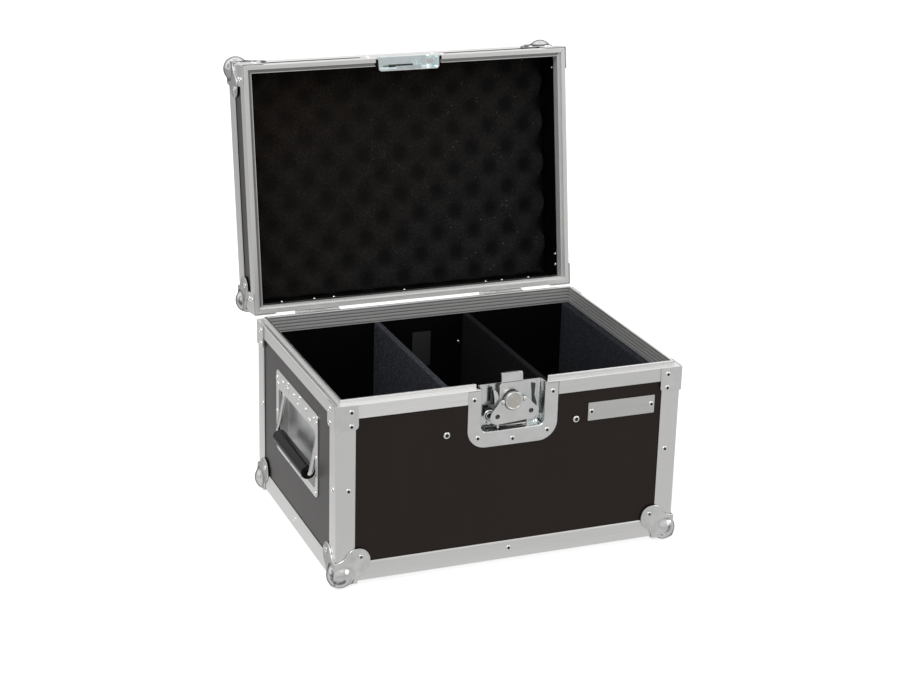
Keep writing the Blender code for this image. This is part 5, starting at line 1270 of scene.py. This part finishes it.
def hook(edge):
    """The hook: a plate round its slot, with a bend near its top and a lip turned back."""
    corners = np.array(((-15.5, -32.0), (15.5, -32.0), (15.5, -1.8), (13.25, 1.6), (13.25, 13.8),
                        (-13.25, 13.8), (-13.25, 1.6), (-15.5, -1.8))) * MM
    radii = np.array((2.0, 2.0, 1.2, 1.2, 1.6, 1.6, 1.2, 1.2)) * MM
    outline = densified(round_corners(corners, radii, 4), 1.5 * MM)
    centre, level, bend = np.array((0.0, -14.2)) * MM, 5.8 * MM, 3.2 * MM
    low, travel, radius = -18.0 * MM, 8.0 * MM, 4.5 * MM
    high = low + travel * cos(radians(20.0))
    slot = np.concatenate((arc_points((0, low), radius, 180, 360, 16),
                           arc_points((0, high), radius, 0, 180, 16)))
    inner = ray_reach(centre, outline, slot)

    def place(across, up, depth):
        """At its level behind the front; above the bend it leans back by 0.12 of its height."""
        lean = 0.12 * np.maximum(0, up - bend)
        return facing_front(across, RIM_LINE + up, level + depth + lean)

    shape = Shape()
    plate(shape, outline, inner, place, 2.0 * MM, edge, "satin_zinc", 10)
    # A thin near black strip at the bend is painted shade
    tag(shape, (-12.6 * MM, 12.6 * MM, 219.9 * MM, 220.5 * MM), 0.2 * MM, 5.72 * MM, 0.4 * MM, "dark_steel")
    lip = round_corners(np.array(((7.2, 11.9), (11.0, 11.9), (11.0, 13.8), (7.2, 13.8))) * MM,
                        np.array((0.3, 0.5, 0.5, 0.9)) * MM, 3)
    bar(shape, lip, (0, -HALF_D, RIM_LINE), BACK, UP, (-12.4 * MM, 12.4 * MM), (square, square), "satin_zinc")
    return shape


class CASE_OT_latch(bpy.types.Operator):
    """Builds the recessed butterfly latch and its keeper in the lid"""
    bl_idname = "flight_case.latch"
    bl_label = "Latch"

    def execute(self, context):
        sizes = context.scene.flight_case_sizes
        heads = (sizes.rivet_radius, sizes.rivet_height)
        rows = dish_rows((56.25, 72.5, 23.0), (39.5, 53.5, 8.0), 15.0)
        shape = dish_shape(rows, RIM_LINE, 1, ("satin_zinc", "bright_zinc"))
        spots = np.array(((-49.05, -12.5), (49.05, -12.5), (0.0, -65.3), (-43.5, -60.1), (43.5, -60.1))) * MM
        heads_on_front(shape, spots + (0, RIM_LINE), SHEET_FRONT, *heads)
        piece("latch_dish_pressing", shape, "case", ("latch_dish",))
        piece("latch_inner_parts", latch_inside(), "case")
        rows = dish_rows((56.25, 46.0, 23.0), (39.5, 27.0, 8.0), 16.8)
        shape = dish_shape(rows, LID_LINE, -1, ("satin_zinc", "tinted_zinc"))

        def from_below(across, inwards, depth):
            """On the keeper's open side, which faces the parting line."""
            return spaced(across, -HALF_D + inwards, LID_LINE + depth)

        # The keeper's tab, a near black sheet behind it as painted shade in the slot where the hook goes in,
        # and a polished patch at the right
        for corners, level, finish in (((-17.0, 17.0, 11.4, 15.4), 1.3, "tinted_zinc"),
                                       ((-22.0, 11.0, 10.2, 13.8), 15.5, "dark_steel"),
                                       ((24.0, 34.0, 4.0, 10.0), 1.6, "polished_steel")):
            tag(shape, np.array(corners) * MM, 0.6 * MM, level * MM, 0.9 * MM, finish, from_below)
        spots = np.array(((-49.05, 12.5), (49.05, 12.5), (-43.5, 34.2), (43.5, 34.2))) * MM
        heads_on_front(shape, spots + (0, LID_LINE), SHEET_FRONT, *heads)
        piece("keeper_dish_pressing", shape, "lid", ("keeper_dish",))
        piece("latch_boss", boss(), "latch_spindle", ("latch_spindle",))
        piece("latch_wing_plate", wing(sizes.sheet_edge * 1.4), "latch_wing", ("latch_wing",))
        piece("latch_hook_plate", hook(sizes.sheet_edge * 1.6), "latch_hook", ("latch_hook",))
        return {"FINISHED"}


# Handles

# How far below its pivot the grip of a resting bail hangs, and how far out it leans, in mm
BAIL_DROP, BAIL_LEAN = 52.0, 10.0


def handle_dish_shape():
    """The pressed handle dish, its cross-section rows carried round closed outlines: flange, rolled mouth, a
    pocket that reaches up behind the flange, and the floor."""
    rows = np.array((
        (81.75, 75.5, 180.5, 8.0, 1.5), (81.75, 75.5, 180.5, 8.0, 0.7), (81.6, 75.65, 180.35, 7.9, 0.42),
        (81.25, 76.0, 180.0, 7.5, 0.3), (74.6, 83.9, 158.6, 7.6, 0.3), (73.6, 84.9, 157.6, 6.6, 0.5),
        (73.1, 85.4, 157.1, 6.1, 0.85), (73.0, 85.5, 157.0, 6.0, 1.2), (73.3, 85.2, 157.3, 6.2, 1.5),
        (74.5, 84.0, 166.8, 6.0, 1.9), (74.2, 84.3, 166.6, 6.0, 11.6), (73.4, 85.1, 165.8, 5.6, 13.1),
        (71.8, 86.7, 164.2, 5.0, 13.7), (69.8, 88.7, 162.2, 4.5, 13.8), (0.0, 125.0, 125.0, 0.0, 13.8),
        (0.0, 125.0, 125.0, 0.0, 15.0), (72.0, 86.5, 164.5, 5.0, 15.0), (74.4, 84.1, 166.9, 6.0, 14.2),
        (75.6, 82.9, 168.1, 7.0, 12.4), (75.7, 82.8, 168.2, 7.2, 2.4), (76.6, 81.9, 169.1, 8.0, 1.5)))
    half, foot, head, radius, depth = rows.T * MM
    across, up = outlines(HANDLE_MIDDLE - half, HANDLE_MIDDLE + half, foot, head, radius, radius)
    points = facing_left(across, up, depth[:, None])
    return pressed(points, grid_quads(*across.shape, True, True), (5, 18), ("satin_zinc", "pressed_wall"))


def handle_spots():
    """Places of the flange's rivets, and places and half sizes of its pressed bumps, from the handle's
    middle and in height."""
    rivet = np.array(((32.6, 176.7), (-14.1, 176.9), (-77.0, 169.8), (77.0, 170.2), (-77.2, 126.5),
                      (77.2, 126.5), (-22.4, 79.7), (22.4, 79.7), (-74.3, 80.5), (74.3, 80.5)))
    bumps = np.array(((53.2, 172.0, 3.2, 2.6), (32.7, 169.0, 2.0, 4.2), (8.0, 172.4, 2.4, 2.2),
                      (-6.6, 166.2, 1.6, 1.6), (-37.9, 171.8, 2.8, 2.4), (-50.7, 163.0, 5.4, 3.4),
                      (-68.5, 173.0, 2.0, 1.8), (74.2, 163.0, 4.8, 3.2)))
    return rivet * MM, bumps * MM


def bail_path():
    """The bail's centre line from stub to stub, in Y across and Z from its pivot: each half goes out of its
    stub, round a small bend, down its arm and round a wider turn to the grip."""
    half, small, wide = 66.0, 4.0, 7.0
    bend = arc_points((half + small, -small), small, 90, 180, 8)
    turn = arc_points((half - wide, wide - BAIL_DROP), wide, 0, -90, 10)
    arm = ((half, -15.0), (half, -30.0))
    right = np.concatenate((((75.6, 0.0), (73.0, 0.0)), bend, arm, turn, ((30.0, -BAIL_DROP),)))
    return np.concatenate((right, right[::-1] * (-1, 1))) * MM


def handle_moving(side_turn, sizes):
    """Bail, grip and return spring of one handle, drawn at the left side. The spring is a helix: radius *
    (cos, sin) while it moves along Y."""
    pivot = np.array((-HALF_W + 7.0 * MM, HANDLE_MIDDLE, 152.5 * MM))
    path = bail_path()
    line = spaced(BAIL_LEAN / BAIL_DROP * path[:, 1], path[:, 0], path[:, 1]) + pivot
    bail, grip, spring = Shape(), Shape(), Shape()
    tube(bail, side_turn(line), 3.3 * MM, RIGHT, "bail_zinc", 24)
    middle = pivot + np.array((-BAIL_LEAN, 0.0, -BAIL_DROP)) * MM
    radius, bore, half = sizes.grip_radius / MM, 3.8, 58.5
    profile = np.array(((-half, bore), (-half, radius - 1.3), (-half + 0.4, radius - 0.5),
                        (-half + 1.3, radius), (half - 1.3, radius), (half - 0.4, radius - 0.5),
                        (half, radius - 1.3), (half, bore), (-half, bore))) * MM
    turned(grip, side_turn(middle), (0, 1, 0), profile, "grip_rubber", 48)
    steps, winding, coil_radius, wire = np.linspace(0, 1, 97), 2, 4.7 * MM, 0.6 * MM
    angle = steps * winding * tau
    coil = spaced(coil_radius * np.cos(angle), 70.9 * MM + 2.6 * MM * steps,
                  coil_radius * np.sin(angle)) + pivot
    tube(spring, side_turn(coil), wire, BACK, "bright_zinc", 10)
    return bail, grip, spring


class CASE_OT_handles(bpy.types.Operator):
    """Builds both recessed handles"""
    bl_idname = "flight_case.handles"
    bl_label = "Handles"

    def execute(self, context):
        sizes = context.scene.flight_case_sizes
        for side, turn in (("left", np.asarray), ("right", half_turned)):
            shape = handle_dish_shape()
            spots, bumps = handle_spots()
            places = facing_left(HANDLE_MIDDLE + spots[:, 0], spots[:, 1], SHEET_FRONT)
            domes(shape, bumps[:, :2] + (HANDLE_MIDDLE, 0), bumps[:, 2:], 1.7 * MM,
                  at_depth(SHEET_FRONT, facing_left), "rivet_steel")
            rivets(shape, places, [LEFT] * len(spots), sizes.rivet_radius * 0.85, sizes.rivet_height)
            shape.points = [turn(points) for points in shape.points]
            piece(side + "_handle_pressing", shape, "case", (side + "_handle_dish",))
            bail, grip, spring = handle_moving(turn, sizes)
            piece(side + "_bail_wire", bail, side + "_handle", (side + "_handle_bail",))
            piece(side + "_grip_sleeve", grip, side + "_handle", (side + "_handle_grip",))
            piece(side + "_spring_coil", spring, "case", (side + "_handle_spring",))
        return {"FINISHED"}


# Hinges

class CASE_OT_hinges(bpy.types.Operator):
    """Finishes the stay hinges"""
    bl_idname = "flight_case.hinges"
    bl_label = "Hinges"

    def execute(self, context):
        refinish(("hinge_base_leaf_left", "hinge_base_leaf_right", "hinge_lid_leaf_left",
                  "hinge_lid_leaf_right"), "satin_zinc")
        return {"FINISHED"}


# Foam

def lid_foam(wave, along, across):
    """Convoluted foam in the shut lid: height = wave * (1 + cos(2 pi x / along) * cos(2 pi y / across)) / 2
    under a flat back. Its right edge is cut back in scallops, and its rim is drawn in softly."""
    left, top, base = -INSIDE_W, 280.3 * MM, 12.0 * MM
    cut_back, scallop, edge_draw, edge_width = 7.0 * MM, 1.6 * MM, 1.6 * MM, 3.0 * MM
    v = np.linspace(-INSIDE_D, INSIDE_D, 151)[None, :]
    end = INSIDE_W - cut_back + scallop * np.cos(tau * v / across + 0.6)
    share = np.linspace(0, 1, 211)[:, None]
    x = left + (end - left) * share
    y = np.broadcast_to(v, x.shape)
    crests = np.cos(tau * x / along) * np.cos(tau * y / across)
    ripple = 0.25 * MM * np.sin(x * 900 + 3 * np.sin(y * 310)) * np.sin(y * 760 + 2 * np.sin(x * 270))
    from_edge = np.minimum(np.minimum(x - left, end - x), np.minimum(y + INSIDE_D, INSIDE_D - y))
    drawn = edge_draw * (1 - smooth_step(from_edge, 0, edge_width)) ** 2
    face = top - base - wave * (1 + crests) / 2 + drawn + 0.6 * np.abs(ripple)
    # How deep each point lies in a hollow, which the foam's finish darkens as painted shade
    hollow = smooth_step(-crests, -0.15, 0.95)
    shape = Shape()
    slab(shape, spaced(x, y, face), spaced(x, y, top), "lid_foam", np.stack((hollow, np.ones_like(hollow))),
         True)
    return shape


def foam_lining():
    """Foam on the floor and up both sides. On each side it lies between two grids of points over Y and Z, at
    x = inner + soft and x = outer, where the outer one stands further in over the handle's pocket, and soft
    draws the face in towards its head. On the floor it is a flat bar."""
    floor, foot, head, inner, pocket = 12.3 * MM, 6.4 * MM, 199.8 * MM, 196.9 * MM, 199.5 * MM
    pocket_z, pocket_y = np.array((82.2, 168.8)) * MM, np.array((-80.7, 71.7)) * MM
    margin = 0.2 * MM
    z = np.unique(np.concatenate((np.linspace(floor, head - 1.5 * MM, 40), pocket_z - margin,
                                  pocket_z + margin, (head - 0.8 * MM, head - 0.2 * MM, head))))
    y = np.unique(np.concatenate((np.linspace(-INSIDE_D, INSIDE_D, 61), pocket_y - margin, pocket_y + margin,
                                  -pocket_y - margin, -pocket_y + margin)))
    grid_z, grid_y = np.meshgrid(z, y, indexing="ij")
    soft = 1.2 * MM * smooth_step(grid_z, head - 1.8 * MM, head) ** 2
    shape = Shape()
    for sign in (-1, 1):
        low, high = np.sort(-sign * pocket_y)
        hollow = (grid_z > pocket_z[0]) & (grid_z < pocket_z[1]) & (grid_y > low) & (grid_y < high)
        slab(shape, spaced(sign * (inner + soft), grid_y, grid_z),
             spaced(sign * np.where(hollow, pocket, INSIDE_W), grid_y, grid_z), "lining_foam")
    top = floor - 0.05 * MM
    section = round_corners(((-INSIDE_W, foot), (INSIDE_W, foot), (INSIDE_W, top), (-INSIDE_W, top)),
                            0.4 * MM)
    bar(shape, section, (0, 0, 0), RIGHT, UP, (-INSIDE_D, INSIDE_D), (square, square), "lining_foam")
    return shape


class CASE_OT_foam(bpy.types.Operator):
    """Builds the lid's convoluted foam and the lining of the base"""
    bl_idname = "flight_case.foam"
    bl_label = "Foam"

    def execute(self, context):
        sizes = context.scene.flight_case_sizes
        foam = piece("convoluted_lid_foam", lid_foam(sizes.foam_wave, sizes.foam_along, sizes.foam_across),
                     "lid", ("lid_foam",), 60.0)
        lining = piece("wall_and_floor_foam", foam_lining(), "case", ("foam_lining",), 50.0)
        return {"FINISHED"}


# Dividers

class CASE_OT_dividers(bpy.types.Operator):
    """Builds the two foam-faced dividers"""
    bl_idname = "flight_case.dividers"
    bl_label = "Dividers"

    def execute(self, context):
        core = np.array(((-4.0, 12.6), (4.0, 12.6), (4.0, 200.1), (-4.0, 200.1))) * MM
        outline = round_corners(core, np.array((0.6, 0.6, 1.1, 1.1)) * MM, 4)
        for side, sign, finish in (("left", -1, "divider_felt"), ("right", 1, "shaded_felt")):
            shape = Shape()
            bar(shape, outline, (sign * 60.5 * MM, 0, 0), RIGHT, UP, (-INSIDE_D, INSIDE_D), (square, square),
                finish)
            piece(side + "_divider_board", shape, "case", (side + "_divider",))
        return {"FINISHED"}


# Nameplate and rivets of the edging

class CASE_OT_trim(bpy.types.Operator):
    """Builds the blank nameplate and the rivets of the boards and the edging"""
    bl_idname = "flight_case.trim"
    bl_label = "Nameplate and rivets"

    def execute(self, context):
        sizes = context.scene.flight_case_sizes
        shape = Shape()
        tag(shape, np.array((95.9, 182.5, 161.4, 184.0)) * MM, 0.9 * MM, 0.7 * MM, 0.8 * MM,
            "plate_aluminium")
        heads_on_front(shape, np.array(((100.2, 172.7), (178.2, 172.7))) * MM, 0.7 * MM, sizes.rivet_radius,
                       sizes.rivet_height)
        piece("blank_nameplate", shape, "case", ("nameplate",))
        shape = Shape()
        heads_on_front(shape, np.array(((-81.25, 165.2), (81.25, 165.2))) * MM, BOARD_OUT, 4.2 * MM, 1.4 * MM)
        rise, line, from_side = BASE_BOTTOM + 14.0 * MM, BASE_BOTTOM + 114.5 * MM, 15.3 * MM
        places = [(*origin, rise) for origin, _, _, _ in SIDES.values()]
        normals = [FRONT, BACK, LEFT, RIGHT]
        for _, _, x_sign, y_sign in CORNERS:
            from_back = 20.0 * MM if y_sign > 0 else 10.0 * MM
            places += [(x_sign * (HALF_W - from_side), y_sign * HALF_D, line),
                       (x_sign * HALF_W, y_sign * (HALF_D - from_back), line)]
            normals += [(0, y_sign, 0), (x_sign, 0, 0)]
        rivets(shape, places, normals, sizes.rivet_radius, sizes.rivet_height)
        piece("edging_rivets", shape, "case")
        shape = Shape()

        def on_rear_wall(across, up, depth):
            """On the inner face of the rear board."""
            return spaced(across, HALF_D - BOARD_IN - 0.25 * MM + depth, up)

        tag(shape, np.array((-12.0, 13.0, 133.2, 180.2)) * MM, 1.0 * MM, 0.0, 0.2 * MM, "blank_label",
            on_rear_wall)
        piece("blank_inner_label", shape, "case")
        shape = Shape()
        rivets(shape, on_rear_wall(52.0 * MM, 161.2 * MM, 0.2 * MM), [FRONT], 2.4 * MM, 1.2 * MM)
        piece("rear_rivet_tail", shape, "case")
        shape = Shape()
        low = [(x, 146.6, 243.0) for x in (-173, -130, -104, -8, 106, 129, 167)]
        side = [(207.1, y, 243.0) for y in (-128, 118, 132)]
        rivets(shape, np.array(low + side) * MM, [FRONT] * 7 + [LEFT] * 3, 2.0 * MM, 1.4 * MM)
        piece("lid_rivet_tails", shape, "lid")
        return {"FINISHED"}


# Stage

class CASE_OT_stage(bpy.types.Operator):
    """Sets the floor, the soft light and the camera"""
    bl_idname = "flight_case.stage"
    bl_label = "Stage"

    def execute(self, context):
        sizes, looks = context.scene.flight_case_sizes, context.scene.flight_case_finishes
        half = sizes.floor_width / 2
        mesh = bpy.data.meshes.new("floor")
        corners = [(half * x, half * y, FLOOR_Z) for x, y in ((-1, -1), (1, -1), (1, 1), (-1, 1))]
        mesh.from_pydata(corners, [], [(0, 1, 2, 3)])
        floor = bpy.data.objects.new("floor", mesh)
        context.scene.collection.objects.link(floor)
        net, shader, place, _ = new_material("pale_floor")
        shader.inputs["Roughness"].default_value = 0.9
        shader.inputs["Specular IOR Level"].default_value = 0.0
        # White to the camera. In metal it is grey ahead of the case, and beside it lighter from the left on
        rays = net.add("ShaderNodeLightPath")
        metal = rays["Is Glossy Ray"]
        net.link(net.mix(metal, looks.floor, (0, 0, 0, 1)), shader.inputs["Base Color"])
        across, along, _ = net.parts(place)
        beside = net.spread(across, -0.75, -0.225, 0.40, 0.72)
        ahead = net.spread(along, -0.20, -0.12, 1.0, 0.0)
        level = net.add("ShaderNodeMix", {0: ahead, 2: beside, 3: 0.56})[0]
        seen = net.times(net.math("MAXIMUM", rays["Is Camera Ray"], rays["Is Transmission Ray"]), 0.62)
        shader.inputs["Emission Color"].default_value = (1, 1, 1, 1)
        net.link(net.math("ADD", seen, net.times(metal, level)), shader.inputs["Emission Strength"])
        mesh.materials.append(bpy.data.materials["pale_floor"])
        self.light(context, looks)
        self.camera(context)
        return {"FINISHED"}

    def light(self, context, looks):
        """A world that is white to the camera and through glass, shaded from below and from the front in
        metal, and dimmer as light, with two soft lamps."""
        world = bpy.data.worlds.new("studio")
        context.scene.world = world
        world.use_nodes = True
        net = Net(world.node_tree)
        rays = net.add("ShaderNodeLightPath")
        direct = net.math("MAXIMUM", rays["Is Camera Ray"], rays["Is Transmission Ray"])
        _, ahead, height = net.parts(net.add("ShaderNodeTexCoord")["Generated"])
        front = net.math("MAXIMUM", net.spread(ahead, -0.8, 0.1, 0.6, 1.0), net.spread(height, 0.35, 0.75))
        metal = net.times(net.spread(height, 0.0, 0.38, 0.72, 1.0), front)
        level = net.math("ADD", net.times(rays["Is Glossy Ray"], metal),
                         net.times(net.math("SUBTRACT", 1.0, rays["Is Glossy Ray"]), 0.55))
        back = world.node_tree.nodes["Background"]
        back.inputs["Color"].default_value = (1, 1, 1, 1)
        net.link(net.math("MAXIMUM", direct, level), back.inputs["Strength"])
        for name, place, size, power in (("key", (-1.1, -1.3, 2.3), 1.8, looks.key_power),
                                         ("fill", (2.2, -1.6, 1.3), 1.6, looks.fill_power)):
            lamp = bpy.data.lights.new(name, "AREA")
            lamp.shape = "DISK"
            lamp.size = size
            lamp.energy = power
            item = bpy.data.objects.new(name, lamp)
            item.location = place
            aim = Matrix.Translation((0, 0, 0.15)).translation - item.location
            item.rotation_euler = aim.to_track_quat("-Z", "Y").to_euler()
            context.scene.collection.objects.link(item)

    def camera(self, context):
        """The photograph's camera: its azimuth, elevation, roll and place were solved from the case's
        edges."""
        azimuth, elevation, roll = -0.38209, 0.34587, 0.025771
        ahead = np.array((-sin(azimuth) * cos(elevation), cos(azimuth) * cos(elevation), -sin(elevation)))
        right = unit(np.cross(ahead, (0, 0, 1)))
        up = np.cross(right, ahead)
        across = cos(roll) * right + sin(roll) * up
        over = -sin(roll) * right + cos(roll) * up
        matrix = np.eye(4)
        matrix[:3, 0], matrix[:3, 1], matrix[:3, 2] = across, over, -ahead
        matrix[:3, 3] = (-0.86178, -2.09733, 1.03936)
        focal_pixels, photo_width, sensor = 1987.34, 900.0, 36.0
        data = bpy.data.cameras.new("photo_camera")
        data.sensor_width = sensor
        data.sensor_fit = "HORIZONTAL"
        data.lens = focal_pixels * sensor / photo_width
        camera = bpy.data.objects.new("photo_camera", data)
        camera.matrix_world = Matrix(matrix.tolist())
        context.scene.collection.objects.link(camera)
        context.scene.camera = camera
        context.scene.view_settings.view_transform = "Standard"


class CASE_PT_panel(bpy.types.Panel):
    """Lists the case's pieces"""
    bl_idname = "CASE_PT_panel"
    bl_label = "Flight case"
    bl_space_type = "VIEW_3D"
    bl_region_type = "UI"
    bl_category = "Flight case"

    def draw(self, context):
        for step in STEPS:
            self.layout.operator(step.bl_idname)
        for group in (context.scene.flight_case_sizes, context.scene.flight_case_finishes):
            for name in group.bl_rna.properties.keys()[2:]:
                self.layout.prop(group, name)


STEPS = (CASE_OT_stage, CASE_OT_finishes, CASE_OT_boards, CASE_OT_edges, CASE_OT_rims, CASE_OT_ball_corners,
         CASE_OT_braces, CASE_OT_latch, CASE_OT_handles, CASE_OT_hinges, CASE_OT_foam, CASE_OT_dividers,
         CASE_OT_trim)
CLASSES = (CaseSizes, CaseFinishes) + STEPS + (CASE_PT_panel,)


def register():
    """Registers the classes and hangs the values on the scene."""
    for item in CLASSES:
        bpy.utils.register_class(item)
    bpy.types.Scene.flight_case_sizes = PointerProperty(type=CaseSizes)
    bpy.types.Scene.flight_case_finishes = PointerProperty(type=CaseFinishes)


def unregister():
    """Takes the values and the classes away again."""
    del bpy.types.Scene.flight_case_finishes
    del bpy.types.Scene.flight_case_sizes
    for item in reversed(CLASSES):
        bpy.utils.unregister_class(item)


def main():
    """Builds the case step by step."""
    register()
    bpy.ops.flight_case.stage()
    bpy.ops.flight_case.finishes()
    bpy.ops.flight_case.boards()
    bpy.ops.flight_case.edges()
    bpy.ops.flight_case.rims()
    bpy.ops.flight_case.ball_corners()
    bpy.ops.flight_case.braces()
    bpy.ops.flight_case.latch()
    bpy.ops.flight_case.handles()
    bpy.ops.flight_case.hinges()
    bpy.ops.flight_case.foam()
    bpy.ops.flight_case.dividers()
    bpy.ops.flight_case.trim()


if __name__ == "__main__":
    main()
